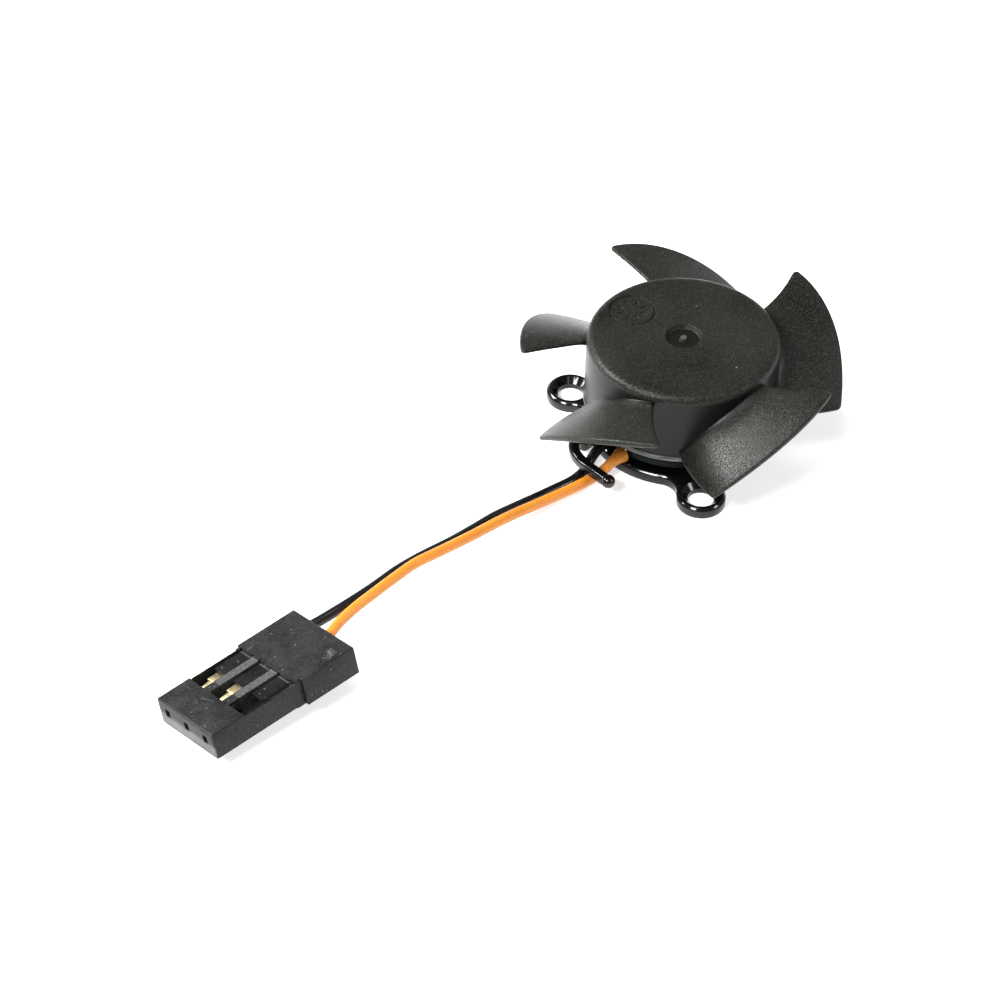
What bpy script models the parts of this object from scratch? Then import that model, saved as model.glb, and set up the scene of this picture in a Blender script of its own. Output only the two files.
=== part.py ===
"""Small open-frame cooling fan with a servo-style lead.

Base plate with three countersunk screw ears and a cable hook, a bearing tube with two
ball bearings, a four-pole stator on a driver board, and a five-blade impeller with its
yoke, magnet and shaft.  Two wires run under the hook to a three-way plug.
World frame: +Z is the rotor axis, z = 0 is the underside of the base plate, and the
first screw ear points along -Y.  Sizes below are in millimetres; MM turns them to metres.
"""
import bpy
import bmesh
from math import acos, atan2, ceil, cos, hypot, pi, radians, sin, tau
from mathutils import Matrix, Vector

MM = 0.001

# ---- base plate -------------------------------------------------------------
RING_INSET = 0.35           # the plate's round body is this much smaller than the hub
PLATE_THICKNESS = 1.0
PLATE_CHAMFER = 0.22        # on the top outer edge
EAR_COUNT = 3
EAR_CIRCLE_RADIUS = 10.0    # screw holes lie on this radius
EAR_RADIUS = 2.1
EAR_FILLET = 1.6            # between ring and ear
EAR_FIRST_ANGLE = -90.0
SCREW_HOLE_RADIUS = 1.12
COUNTERSINK_DEPTH = 0.5     # 90 degree countersink from the top
LABEL_OVERLAP = 0.77        # how far the label reaches past the plate's bore
LABEL_THICKNESS = 0.12
LABEL_RECESS_DEPTH = 0.17
# cable hook: a raised arm that the wires pass under; its lines are pairs of
# (distance outside the plate's round edge, angle in degrees)
HOOK_WIDTH = 0.8
HOOK_THICKNESS = 0.9
HOOK_RISE = 0.2             # from the plate's top to the arm's underside
HOOK_BALL_RADIUS = 0.58
HOOK_POST_WIDTH = 1.1
HOOK_POST_SINK = 0.7        # how far the post runs down into its foot
HOOK_POST_DROP = 0.02       # the post's top below the arm's
HOOK_FOOT_WIDTH = 1.5
HOOK_FOOT_DROP = 0.05       # the foot's top below the plate's
HOOK_FOOT_START = (-0.90, 186.92)
HOOK_LINE = [(0.69, 192.02), (1.46, 194.77), (2.11, 199.16), (2.69, 205.31),
             (2.91, 212.59), (2.98, 220.18), (3.24, 226.59)]
HOOK_POINT_STEP = 0.55
HOOK_POST_LINE = [(-0.31, 188.66), (0.29, 190.49), (1.10, 193.42)]

# ---- bearings, tube and shaft -----------------------------------------------
SHAFT_RADIUS = 0.75
SHAFT_BOTTOM = 0.35
BEARING_OUTER_RADIUS = 2.0
BEARING_WIDTH = 2.0
BALL_COUNT = 7
BALL_RADIUS = 0.2
CAGE_WIDTH = 0.16
LOWER_BEARING_Z = 0.95
BEARING_SPACING = 4.05      # from one bearing's underside to the other's
TUBE_WALL = 0.57
TUBE_BOTTOM = 0.22
TUBE_RIM = 0.3              # how far the tube stands above the upper bearing
TUBE_SHOULDER_WALL = 0.97   # radial thickness where the stator stands on it
TUBE_FLANGE_WIDTH = 0.63    # how far the flange stands out past the shoulder
TUBE_FLANGE_THICKNESS = 0.45
SPACER_LIP = 0.07           # the lip between the seats stands in past the outer rings
PRESS_GAP = 0.03            # between a ring and its seat
STACK_GAP = 0.03            # between faces that rest on each other
WASHER_THICKNESS = 0.1
CLIP_THICKNESS = 0.18
CLIP_RIM = 0.5              # how far the clip stands out from the shaft
CLIP_OPENING = 70.0         # degrees left open in the clip
GROOVE_DEPTH = 0.22
GROOVE_PLAY = 0.03
SHAFT_CHAMFER = 0.1
SPRING_WIRE_RADIUS = 0.12
SPRING_TURNS = 2.5

# ---- driver board and stator ------------------------------------------------
BOARD_INSET = 0.95          # the board is this much smaller than the hub
BOARD_THICKNESS = 0.6
BOARD_SEAT_GAP = 0.05       # glue line between the tube's flange and the board
BOARD_TO_STATOR = 1.22      # from the board's top to the stator's seat
SMD_PLACES = {"driver_chip": (4.9, -40.0), "filter_capacitor": (5.6, 20.0),
              "bias_resistor": (5.6, 75.0), "clamp_diode": (5.4, 165.0)}   # (radius, angle)
SMD_SIZES = {"driver_chip": (2.9, 1.6, 0.5), "filter_capacitor": (1.6, 0.8, 0.5),
             "bias_resistor": (1.0, 0.5, 0.3), "clamp_diode": (1.7, 1.2, 0.5)}
AIR_GAP = 0.36              # between the stator and the magnet
STATOR_STACK = 2.4
POLE_COUNT = 4
POLE_ARM_WIDTH = 1.8
POLE_TIP_THICKNESS = 0.75
POLE_ARC = 74.0             # degrees covered by one pole face
POLE_TIP_SLOPE = 0.15       # how much further out a pole face's ends begin
POLE_SHOULDER = 4.0         # degrees by which the insulators' pole faces are shorter
STATOR_HUB_WALL = 0.6
INSULATOR_THICKNESS = 0.6
INSULATOR_OVERHANG = 0.1    # wider than the core's arm on each side
COIL_BUILD = 0.5            # depth of the winding
COIL_GAP = 0.06
COIL_CORNER = 0.12          # inner corner of each turn
COIL_CORNER_GROWTH = 0.6    # how much of the winding's depth is added to its outer corner
PIN_COUNT = 3
PIN_RADIUS = 0.2
PIN_GAP = 0.11              # between the pins and the tube's shoulder

# ---- rotor -------------------------------------------------------------------
HUB_RADIUS = 8.3
HUB_BOTTOM = 3.11
HUB_TOP = 10.08
HUB_WALL = 0.8
HUB_ROOF = 1.2
HUB_EDGE_ROUND = 0.5
HUB_LIP_HEIGHT = 0.55       # plain band round the open end
HUB_LIP_STEP = 0.06
DIMPLE_RADIUS = 1.5
DIMPLE_DEPTH = 0.22
DIMPLE_SLOPE = 0.25         # width of the dimple's sloping side
GATE_NUB_RADIUS = 0.3
GATE_NUB_HEIGHT = 0.16
BOSS_WALL = 0.82
SPRING_ROOM = 1.05          # from the upper bearing to the boss
SOCKET_ROOF = 0.63          # plastic left above the shaft's end
YOKE_THICKNESS = 0.5
YOKE_BEND = 0.3             # outer corner of the yoke's roof
YOKE_SETBACK = 0.34         # from the hub's open end to the yoke's
MAGNET_THICKNESS = 0.85
MAGNET_SETBACK = 0.25       # from the yoke's open end to the magnet's
MAGNET_HEIGHT = 3.4
ROTOR_GLUE_GAP = 0.045      # between hub, yoke and magnet
BLADE_COUNT = 5
BLADE_TIP_RADIUS = 13.86
BLADE_THICKNESS = 0.6       # at mid chord
BLADE_EDGE_SHARE = 0.35     # the edges' thickness as a share of that
BLADE_FIRST_ANGLE = -46.6   # high edge of the first blade at the hub
BLADE_ROOT_SPAN = 56.4      # degrees from low edge to high edge at the hub
BLADE_TIP_SPAN = 53.5
BLADE_SWEEP = 9.9           # degrees that the high edge leans forward at the tip
BLADE_ROOT_HEIGHTS = (3.93, 9.23)
BLADE_TIP_HEIGHTS = (3.89, 9.82)
BLADE_ROOT_CAMBER = 0.72
BLADE_TIP_CAMBER = 0.83
BLADE_EMBED = 0.5           # how far a blade runs into the hub wall

# ---- lead and plug -----------------------------------------------------------
WIRE_DIAMETER = 0.9
WIRE_POINT_STEP = 1.9
BLACK_ROUTE = [(-6.80, -3.25, 1.70), (-7.38, -3.54, 1.66), (-7.98, -3.95, 1.42),
               (-8.52, -4.47, 1.05), (-9.00, -5.03, 0.73), (-9.60, -5.66, 0.52),
               (-10.63, -6.46, 0.50), (-12.08, -7.30, 0.61), (-14.00, -8.48, 0.86),
               (-15.92, -9.69, 1.17), (-17.83, -10.95, 1.49), (-19.77, -12.49, 1.81),
               (-21.68, -13.98, 2.12), (-23.56, -15.31, 2.45), (-25.41, -16.55, 2.68),
               (-27.26, -17.94, 2.87), (-29.14, -19.56, 3.00), (-30.85, -20.78, 2.98),
               (-32.35, -21.68, 2.85), (-33.75, -22.36, 2.60), (-35.20, -23.05, 2.40),
               (-36.30, -23.69, 2.29), (-37.20, -24.25, 2.22)]
ORANGE_ROUTE = [(-5.87, -4.90, 1.70), (-6.38, -5.26, 1.66), (-7.00, -5.62, 1.42),
                (-7.75, -6.00, 1.00), (-8.72, -6.45, 0.68), (-10.37, -7.41, 0.70),
                (-12.29, -8.56, 0.93), (-14.21, -9.71, 1.20), (-16.12, -10.94, 1.57),
                (-18.04, -12.30, 1.95), (-19.97, -13.79, 2.35), (-21.86, -15.16, 2.72),
                (-23.72, -16.42, 3.03), (-25.56, -17.65, 3.30), (-27.43, -19.21, 3.43),
                (-29.29, -20.78, 3.47), (-31.05, -22.18, 3.36), (-32.45, -23.40, 3.15),
                (-33.22, -24.28, 2.99), (-34.05, -25.12, 2.88), (-34.95, -25.79, 2.80),
                (-35.90, -26.38, 2.73)]
SOLDER_SETBACK = 0.25       # from the board's edge to the solder
SOLDER_LENGTH = 1.1
SOLDER_WIDTH = 0.9
SOLDER_HEIGHT = 0.4
PLUG_PLACE = (-45.54, -32.72, 0.79)   # middle of the front face's lower edge
PLUG_TURN = (-11.9, -3.7, 32.0)       # degrees about X, Y and Z
PLUG_LENGTH = 13.8
PLUG_NOSE_LENGTH = 8.3
PLUG_NOSE_WIDTH = 7.3
PLUG_THICKNESS = 2.45
PLUG_STEP_RIGHT = 0.35      # how far the rear block stands out on each side
PLUG_STEP_LEFT = 0.15
WAY_COUNT = 3
WAY_PITCH = 2.54
CHANNEL_WIDTH = 1.7
CHANNEL_HEIGHT = 1.5
CHANNEL_FLOOR = 0.45
NOSE_WALL = 1.0
CONTACT_HOLE = 0.75
WINDOW_START = 3.2
TONGUE_START = 5.35
TONGUE_SLOT = 0.2           # open slot on each side of a tongue
TONGUE_DROP = 0.12          # how far the tongues lie below the housing's top
REAR_RISE = 0.05            # how far the rear block stands above and below the nose
TERMINAL_PLAY = 0.2         # beside a terminal in its channel
TERMINAL_FLOOR_GAP = 0.05
TERMINAL_SETBACK = 0.3      # behind the housing's front wall
TERMINAL_SHEET = 0.2
BARB_WIDTH = 0.84
BARB_LENGTH = 0.85
BARB_SETBACK = 0.45         # from the barb to the end of the contact box
BARB_RISE = 0.5
NECK_WIDTH = 0.7
NECK_LENGTH = 2.7
CRIMP_WIDTH = 1.0
CRIMP_HEIGHT = 0.95
CRIMP_LENGTH = 2.2
SLEEVE_WIDTH = 1.2
SLEEVE_HEIGHT = 1.2
SLEEVE_LENGTH = 1.8
TERMINAL_HEIGHT = 1.235
TERMINAL_TONGUE_GAP = 0.15  # between the contact box and the tongue
JOIN = 0.2                  # overlap between joined stretches
STEP = 0.004                # keeps joined faces from lying in one plane

# ---- sizes that follow from the ones above ------------------------------------
RING_RADIUS = HUB_RADIUS - RING_INSET
BOARD_RADIUS = HUB_RADIUS - BOARD_INSET
HOOK_UNDERSIDE = PLATE_THICKNESS + HOOK_RISE
HOOK_TOP = HOOK_UNDERSIDE + HOOK_THICKNESS
UPPER_BEARING_Z = LOWER_BEARING_Z + BEARING_SPACING
BEARING_BORE = SHAFT_RADIUS + PRESS_GAP
BEARING_RACE = (BEARING_OUTER_RADIUS - BEARING_BORE) / 2 - BALL_RADIUS - PRESS_GAP
INNER_RING_RADIUS = BEARING_BORE + BEARING_RACE
OUTER_RING_BORE = BEARING_OUTER_RADIUS - BEARING_RACE
SPACER_BORE_RADIUS = OUTER_RING_BORE - SPACER_LIP
WASHER_RADIUS = INNER_RING_RADIUS - PRESS_GAP * 2
CLIP_RADIUS = SHAFT_RADIUS + CLIP_RIM
SEAT_RADIUS = BEARING_OUTER_RADIUS + PRESS_GAP
TUBE_RADIUS = BEARING_OUTER_RADIUS + TUBE_WALL
PLATE_BORE_RADIUS = TUBE_RADIUS + PRESS_GAP * 2
LABEL_RADIUS = PLATE_BORE_RADIUS + LABEL_OVERLAP
SHOULDER_RADIUS = BEARING_OUTER_RADIUS + TUBE_SHOULDER_WALL
TUBE_FLANGE_RADIUS = SHOULDER_RADIUS + TUBE_FLANGE_WIDTH
TUBE_TOP = UPPER_BEARING_Z + BEARING_WIDTH + TUBE_RIM
FLANGE_Z = PLATE_THICKNESS + STACK_GAP
BOARD_Z = FLANGE_Z + TUBE_FLANGE_THICKNESS + BOARD_SEAT_GAP
BOARD_TOP = BOARD_Z + BOARD_THICKNESS
TUBE_SHOULDER_Z = BOARD_TOP + BOARD_TO_STATOR
STATOR_BORE = TUBE_RADIUS + PRESS_GAP
STATOR_HUB_RADIUS = STATOR_BORE + STATOR_HUB_WALL
PIN_CIRCLE_RADIUS = SHOULDER_RADIUS + PIN_RADIUS + PIN_GAP
LOWER_INSULATOR_Z = TUBE_SHOULDER_Z + STACK_GAP
STACK_Z = LOWER_INSULATOR_Z + INSULATOR_THICKNESS + STACK_GAP
UPPER_INSULATOR_Z = STACK_Z + STATOR_STACK + STACK_GAP
YOKE_RADIUS = HUB_RADIUS - HUB_WALL - ROTOR_GLUE_GAP
YOKE_BOTTOM = HUB_BOTTOM + YOKE_SETBACK
MAGNET_RADIUS = YOKE_RADIUS - YOKE_THICKNESS - ROTOR_GLUE_GAP
MAGNET_BOTTOM = YOKE_BOTTOM + MAGNET_SETBACK
STATOR_RADIUS = MAGNET_RADIUS - MAGNET_THICKNESS - AIR_GAP
BOSS_RADIUS = BEARING_BORE + BOSS_WALL
BOSS_BOTTOM = UPPER_BEARING_Z + BEARING_WIDTH + SPRING_ROOM
SHAFT_SOCKET_TOP = HUB_TOP - SOCKET_ROOF
GROOVE_TOP = LOWER_BEARING_Z - STACK_GAP * 2 - WASHER_THICKNESS
GROOVE_BOTTOM = GROOVE_TOP - CLIP_THICKNESS - GROOVE_PLAY * 2
TERMINAL_WIDTH = CHANNEL_WIDTH - 2 * TERMINAL_PLAY

ROUND_SEGMENTS = 60
MEDIUM_SEGMENTS = 36
SMALL_SEGMENTS = 24
CUTTER_OVERRUN = 0.5        # how far a cutter runs past the faces it cuts
MERGE = 0.00001


# ---- helpers -----------------------------------------------------------------
for old in list(bpy.data.objects):
    bpy.data.objects.remove(old, do_unlink=True)

parts = bpy.data.collections.new("cooling_fan")
cutters = bpy.data.collections.new("cutters")
for group in (parts, cutters):
    bpy.context.scene.collection.children.link(group)


def material(name, colour, roughness, metallic=0.0):
    finish = bpy.data.materials.new(name)
    finish.use_nodes = True
    shader = finish.node_tree.nodes["Principled BSDF"]
    shader.inputs["Base Color"].default_value = (*colour, 1.0)
    shader.inputs["Roughness"].default_value = roughness
    shader.inputs["Metallic"].default_value = metallic
    return finish


def add_object(name, mesh, finish=None, group=None):
    made = bpy.data.objects.new(name, mesh)
    (group or parts).objects.link(made)
    if finish:
        mesh.materials.append(finish)
    if group == cutters:
        made.hide_render = True
        made.display_type = "WIRE"
    return made


def mesh_from_bmesh(name, shape, smooth=True):
    bmesh.ops.recalc_face_normals(shape, faces=shape.faces)
    mesh = bpy.data.meshes.new(name)
    shape.to_mesh(mesh)
    shape.free()
    if smooth:
        mesh.shade_smooth()
        mesh.set_sharp_from_angle(angle=radians(35))
    return mesh


def turned(name, profile, finish=None, segments=MEDIUM_SEGMENTS, group=None, closed=False):
    """Turn an (r, z) profile about Z.  The profile runs down its outer side."""
    mesh = bpy.data.meshes.new(name)
    points = [(r * MM, 0.0, z * MM) for r, z in profile]
    edges = [(i, i + 1) for i in range(len(points) - 1)]
    if closed:
        edges.append((len(points) - 1, 0))
    mesh.from_pydata(points, edges, [])
    made = add_object(name, mesh, finish, group)
    screw = made.modifiers.new("turn", "SCREW")
    screw.axis = "Z"
    screw.steps = segments
    screw.render_steps = segments
    screw.use_merge_vertices = True
    screw.merge_threshold = MERGE
    screw.use_smooth_shade = True
    return made


def tube_ring(name, inner, outer, bottom, top, finish=None, segments=MEDIUM_SEGMENTS, group=None):
    profile = [(inner, top), (outer, top), (outer, bottom), (inner, bottom)]
    return turned(name, profile, finish, segments, group, closed=True)


def disc(name, radius, bottom, top, finish=None, segments=MEDIUM_SEGMENTS, group=None):
    profile = [(0.0, top), (radius, top), (radius, bottom), (0.0, bottom)]
    return turned(name, profile, finish, segments, group)


def box_mesh(name, low, high):
    shape = bmesh.new()
    bmesh.ops.create_cube(shape, size=1.0)
    size = [(b - a) * MM for a, b in zip(low, high)]
    middle = [(a + b) / 2 * MM for a, b in zip(low, high)]
    bmesh.ops.scale(shape, vec=size, verts=shape.verts)
    bmesh.ops.translate(shape, vec=middle, verts=shape.verts)
    return mesh_from_bmesh(name, shape, smooth=False)


def box(name, low, high, finish=None, group=None, place=None):
    made = add_object(name, box_mesh(name, low, high), finish, group)
    if place:
        made.matrix_world = place
    return made


def outline_solid(name, loops, bottom, top, finish=None, group=None, chamfer=0.0):
    """Extrude flat loops of (x, y) points; loops inside the first are holes."""
    curve = bpy.data.curves.new(name, "CURVE")
    curve.dimensions = "2D"
    curve.fill_mode = "BOTH"
    curve.extrude = (top - bottom) / 2 * MM
    for loop in loops:
        spline = curve.splines.new("POLY")
        spline.points.add(len(loop) - 1)
        for point, (x, y) in zip(spline.points, loop):
            point.co = (x * MM, y * MM, 0.0, 1.0)
        spline.use_cyclic_u = True
    flat = bpy.data.objects.new(name + "_outline", curve)
    flat.location.z = (top + bottom) / 2 * MM
    mesh = mesh_of_curve(name, flat, chamfer)
    return add_object(name, mesh, finish, group)


def mesh_of_curve(name, curve_object, chamfer=0.0):
    bpy.context.scene.collection.objects.link(curve_object)
    bpy.context.view_layer.update()
    depsgraph = bpy.context.evaluated_depsgraph_get()
    mesh = bpy.data.meshes.new_from_object(curve_object.evaluated_get(depsgraph))
    mesh.name = name
    shape = bmesh.new()
    shape.from_mesh(mesh)
    bmesh.ops.transform(shape, matrix=curve_object.matrix_world, verts=shape.verts)
    bmesh.ops.remove_doubles(shape, verts=shape.verts, dist=MERGE)
    if chamfer:
        bmesh.ops.dissolve_limit(shape, angle_limit=radians(1), verts=shape.verts, edges=shape.edges)
        high = max(v.co.z for v in shape.verts)
        rim = [e for e in shape.edges if all(abs(v.co.z - high) < MERGE for v in e.verts)]
        bmesh.ops.bevel(shape, geom=rim, offset=chamfer * MM, segments=1, affect="EDGES",
                        profile=0.5, material=-1)
    bmesh.ops.recalc_face_normals(shape, faces=shape.faces)
    shape.to_mesh(mesh)
    shape.free()
    mesh.materials.clear()
    mesh.shade_smooth()
    mesh.set_sharp_from_angle(angle=radians(35))
    bpy.data.objects.remove(curve_object, do_unlink=True)
    return mesh


def boolean(target, tool, operation="DIFFERENCE"):
    cut = target.modifiers.new(tool.name, "BOOLEAN")
    cut.operation = operation
    cut.object = tool
    cut.solver = "EXACT"


def arc(centre, radius, start, end, step=7.5):
    """Points on an arc from start to end, in degrees."""
    count = max(1, ceil(abs(end - start) / step))
    angles = [radians(start + (end - start) * i / count) for i in range(count + 1)]
    return [(centre[0] + radius * cos(a), centre[1] + radius * sin(a)) for a in angles]


def polar(radius, degrees):
    return (radius * cos(radians(degrees)), radius * sin(radians(degrees)))


def smooth_line(points, step):
    """Read points a fixed step apart from a smooth curve through the given points."""
    knots = [Vector(p) for p in points]
    ends = [knots[0] * 2 - knots[1]] + knots + [knots[-1] * 2 - knots[-2]]
    fine = []
    for i in range(1, len(ends) - 2):
        a, b, c, d = ends[i - 1:i + 3]
        for k in range(24):
            t = k / 24
            fine.append(0.5 * (2 * b + (c - a) * t + (2 * a - 5 * b + 4 * c - d) * t ** 2
                               + (3 * b - a - 3 * c + d) * t ** 3))
    fine.append(knots[-1])
    lengths = [0.0]
    for a, b in zip(fine, fine[1:]):
        lengths.append(lengths[-1] + (b - a).length)
    count = round(lengths[-1] / step)
    line = []
    i = 0
    for k in range(count + 1):
        goal = lengths[-1] * k / count
        while i < len(fine) - 2 and lengths[i + 1] < goal:
            i += 1
        share = (goal - lengths[i]) / (lengths[i + 1] - lengths[i])
        line.append(fine[i].lerp(fine[i + 1], share))
    return line


def hook_outline(line, width):
    """Outline of a strip of the given width along a line, with a round far end."""
    spine = smooth_line([(*polar(RING_RADIUS + out, angle), 0.0) for out, angle in line], HOOK_POINT_STEP)
    left, right = [], []
    for i, point in enumerate(spine):
        along = (spine[min(i + 1, len(spine) - 1)] - spine[max(i - 1, 0)]).normalized()
        side = Vector((-along.y, along.x, 0.0)) * width / 2
        left.append((point + side).to_2d().to_tuple())
        right.append((point - side).to_2d().to_tuple())
    heading = atan2(along.y, along.x) * 180 / pi
    tip = arc(spine[-1].to_2d(), width / 2, heading - 90, heading + 90, 30.0)
    return right[:-1] + tip + left[-2::-1]


# ---- base plate ----------------------------------------------------------------
def plate_outline():
    """Ring with three ears, each blended by a fillet that is tangent to both."""
    side_a = RING_RADIUS + EAR_FILLET
    side_b = EAR_RADIUS + EAR_FILLET
    at_ring = acos((side_a ** 2 + EAR_CIRCLE_RADIUS ** 2 - side_b ** 2) / (2 * side_a * EAR_CIRCLE_RADIUS))
    at_ring = at_ring * 180 / pi
    outline = []
    pitch = 360.0 / EAR_COUNT
    for k in range(EAR_COUNT):
        ear_angle = EAR_FIRST_ANGLE + k * pitch
        ear = polar(EAR_CIRCLE_RADIUS, ear_angle)
        before = polar(side_a, ear_angle - at_ring)
        after = polar(side_a, ear_angle + at_ring)
        to_ear_before = atan2(ear[1] - before[1], ear[0] - before[0]) * 180 / pi
        to_ear_after = atan2(ear[1] - after[1], ear[0] - after[0]) * 180 / pi
        outline += arc((0.0, 0.0), RING_RADIUS, ear_angle - pitch + at_ring, ear_angle - at_ring)
        outline += arc(before, EAR_FILLET, *shortest(ear_angle - at_ring + 180, to_ear_before), 12.0)[1:]
        outline += arc(ear, EAR_RADIUS, *long_way(to_ear_before + 180, to_ear_after + 180), 12.0)[1:]
        outline += arc(after, EAR_FILLET, *shortest(to_ear_after, ear_angle + at_ring + 180), 12.0)[1:-1]
    return outline


def shortest(start, end):
    turn = (end - start + 180) % 360 - 180
    return start, start + turn


def long_way(start, end):
    return start, start + (end - start) % 360


def make_base_plate(finish):
    plate = outline_solid("base_plate", [plate_outline()], 0.0, PLATE_THICKNESS, finish,
                          chamfer=PLATE_CHAMFER)
    arm = outline_solid("hook_arm", [hook_outline(HOOK_LINE, HOOK_WIDTH)], HOOK_UNDERSIDE, HOOK_TOP,
                        group=cutters, chamfer=PLATE_CHAMFER / 2)
    post = outline_solid("hook_post", [hook_outline(HOOK_POST_LINE, HOOK_POST_WIDTH)],
                         PLATE_THICKNESS - HOOK_POST_SINK, HOOK_TOP - HOOK_POST_DROP, group=cutters)
    foot = outline_solid("hook_foot", [hook_outline([HOOK_FOOT_START] + HOOK_POST_LINE, HOOK_FOOT_WIDTH)],
                         0.0, PLATE_THICKNESS - HOOK_FOOT_DROP, group=cutters)
    ball_shape = bmesh.new()
    bmesh.ops.create_uvsphere(ball_shape, u_segments=16, v_segments=10, radius=HOOK_BALL_RADIUS * MM)
    ball = add_object("hook_ball", mesh_from_bmesh("hook_ball", ball_shape), group=cutters)
    end_out, end_angle = HOOK_LINE[-1]
    x, y = polar(RING_RADIUS + end_out, end_angle)
    ball.location = (x * MM, y * MM, (HOOK_UNDERSIDE + HOOK_THICKNESS / 2) * MM)
    for piece in (foot, post, arm, ball):
        boolean(plate, piece, "UNION")
    over = CUTTER_OVERRUN
    bore = disc("plate_bore", PLATE_BORE_RADIUS, -over, PLATE_THICKNESS + over, group=cutters)
    recess = disc("label_recess", LABEL_RADIUS + PRESS_GAP, -over, LABEL_RECESS_DEPTH, group=cutters)
    for cutter in (bore, recess):
        boolean(plate, cutter)
    sink_bottom = PLATE_THICKNESS - COUNTERSINK_DEPTH
    sink_top_radius = SCREW_HOLE_RADIUS + COUNTERSINK_DEPTH + over
    profile = [(0.0, PLATE_THICKNESS + over), (sink_top_radius, PLATE_THICKNESS + over),
               (SCREW_HOLE_RADIUS, sink_bottom), (SCREW_HOLE_RADIUS, -over), (0.0, -over)]
    for k in range(EAR_COUNT):
        sink = turned("ear_hole_%d" % (k + 1), profile, segments=SMALL_SEGMENTS, group=cutters)
        x, y = polar(EAR_CIRCLE_RADIUS, EAR_FIRST_ANGLE + k * 360.0 / EAR_COUNT)
        sink.location = (x * MM, y * MM, 0.0)
        boolean(plate, sink)
    return plate


# ---- bearings, tube, shaft -------------------------------------------------------
def make_bearing_tube(finish):
    lip_bottom = LOWER_BEARING_Z + BEARING_WIDTH + STACK_GAP
    lip_top = UPPER_BEARING_Z - STACK_GAP
    flange_top = FLANGE_Z + TUBE_FLANGE_THICKNESS
    profile = [(SEAT_RADIUS, TUBE_TOP), (TUBE_RADIUS, TUBE_TOP), (TUBE_RADIUS, TUBE_SHOULDER_Z),
               (SHOULDER_RADIUS, TUBE_SHOULDER_Z), (SHOULDER_RADIUS, flange_top),
               (TUBE_FLANGE_RADIUS, flange_top), (TUBE_FLANGE_RADIUS, FLANGE_Z),
               (TUBE_RADIUS, FLANGE_Z), (TUBE_RADIUS, TUBE_BOTTOM), (SEAT_RADIUS, TUBE_BOTTOM),
               (SEAT_RADIUS, lip_bottom), (SPACER_BORE_RADIUS, lip_bottom),
               (SPACER_BORE_RADIUS, lip_top), (SEAT_RADIUS, lip_top)]
    return turned("bearing_tube", profile, finish, closed=True)


def make_bearing(prefix, bottom, steel, cage_finish):
    top = bottom + BEARING_WIDTH
    tube_ring(prefix + "_bearing_outer_ring", OUTER_RING_BORE, BEARING_OUTER_RADIUS, bottom, top, steel)
    tube_ring(prefix + "_bearing_inner_ring", BEARING_BORE, INNER_RING_RADIUS, bottom, top, steel,
              SMALL_SEGMENTS)
    pitch_radius = (INNER_RING_RADIUS + OUTER_RING_BORE) / 2
    middle = (bottom + top) / 2
    cage_half = CAGE_WIDTH / 2
    balls = tube_ring(prefix + "_bearing_balls", pitch_radius - cage_half, pitch_radius + cage_half,
                      middle - cage_half, middle + cage_half, cage_finish, SMALL_SEGMENTS)
    for k in range(BALL_COUNT):
        shape = bmesh.new()
        bmesh.ops.create_icosphere(shape, subdivisions=1, radius=BALL_RADIUS * MM)
        ball = add_object("%s_ball_%d" % (prefix, k + 1), mesh_from_bmesh("ball", shape), group=cutters)
        x, y = polar(pitch_radius, 360.0 * (k + 0.5) / BALL_COUNT)
        ball.location = (x * MM, y * MM, middle * MM)
        boolean(balls, ball, "UNION")


def make_shaft(finish):
    groove = SHAFT_RADIUS - GROOVE_DEPTH
    top = SHAFT_SOCKET_TOP - STACK_GAP
    edge = SHAFT_RADIUS - SHAFT_CHAMFER
    profile = [(0.0, top), (edge, top), (SHAFT_RADIUS, top - SHAFT_CHAMFER),
               (SHAFT_RADIUS, GROOVE_TOP), (groove, GROOVE_TOP), (groove, GROOVE_BOTTOM),
               (SHAFT_RADIUS, GROOVE_BOTTOM), (SHAFT_RADIUS, SHAFT_BOTTOM + SHAFT_CHAMFER),
               (edge, SHAFT_BOTTOM), (0.0, SHAFT_BOTTOM)]
    turned("shaft", profile, finish, SMALL_SEGMENTS)


def make_clip_and_washer(finish):
    washer_bottom = GROOVE_TOP + STACK_GAP
    tube_ring("thrust_washer", BEARING_BORE, WASHER_RADIUS, washer_bottom,
              washer_bottom + WASHER_THICKNESS, finish, SMALL_SEGMENTS)
    bottom = GROOVE_BOTTOM + GROOVE_PLAY
    inner = SHAFT_RADIUS - GROOVE_DEPTH + GROOVE_PLAY
    half = CLIP_OPENING / 2
    outline = arc((0, 0), CLIP_RADIUS, half, 360 - half, 15.0)
    outline += arc((0, 0), inner, 360 - half, half, 15.0)
    outline_solid("retaining_clip", [outline], bottom, bottom + CLIP_THICKNESS, finish)


def make_preload_spring(finish):
    low = UPPER_BEARING_Z + BEARING_WIDTH + SPRING_WIRE_RADIUS + STACK_GAP
    high = BOSS_BOTTOM - SPRING_WIRE_RADIUS - STACK_GAP
    radius = SHAFT_RADIUS + PRESS_GAP * 2 + SPRING_WIRE_RADIUS
    steps = int(SPRING_TURNS * 14)
    curve = bpy.data.curves.new("preload_spring", "CURVE")
    curve.dimensions = "3D"
    curve.bevel_depth = SPRING_WIRE_RADIUS * MM
    curve.bevel_resolution = 1
    curve.use_fill_caps = True
    spline = curve.splines.new("POLY")
    spline.points.add(steps)
    for i, point in enumerate(spline.points):
        share = i / steps
        angle = share * SPRING_TURNS * tau
        point.co = (radius * cos(angle) * MM, radius * sin(angle) * MM,
                    (low + (high - low) * share) * MM, 1.0)
    coil = bpy.data.objects.new("preload_spring_path", curve)
    return add_object("preload_spring", mesh_of_curve("preload_spring", coil), finish)


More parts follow.
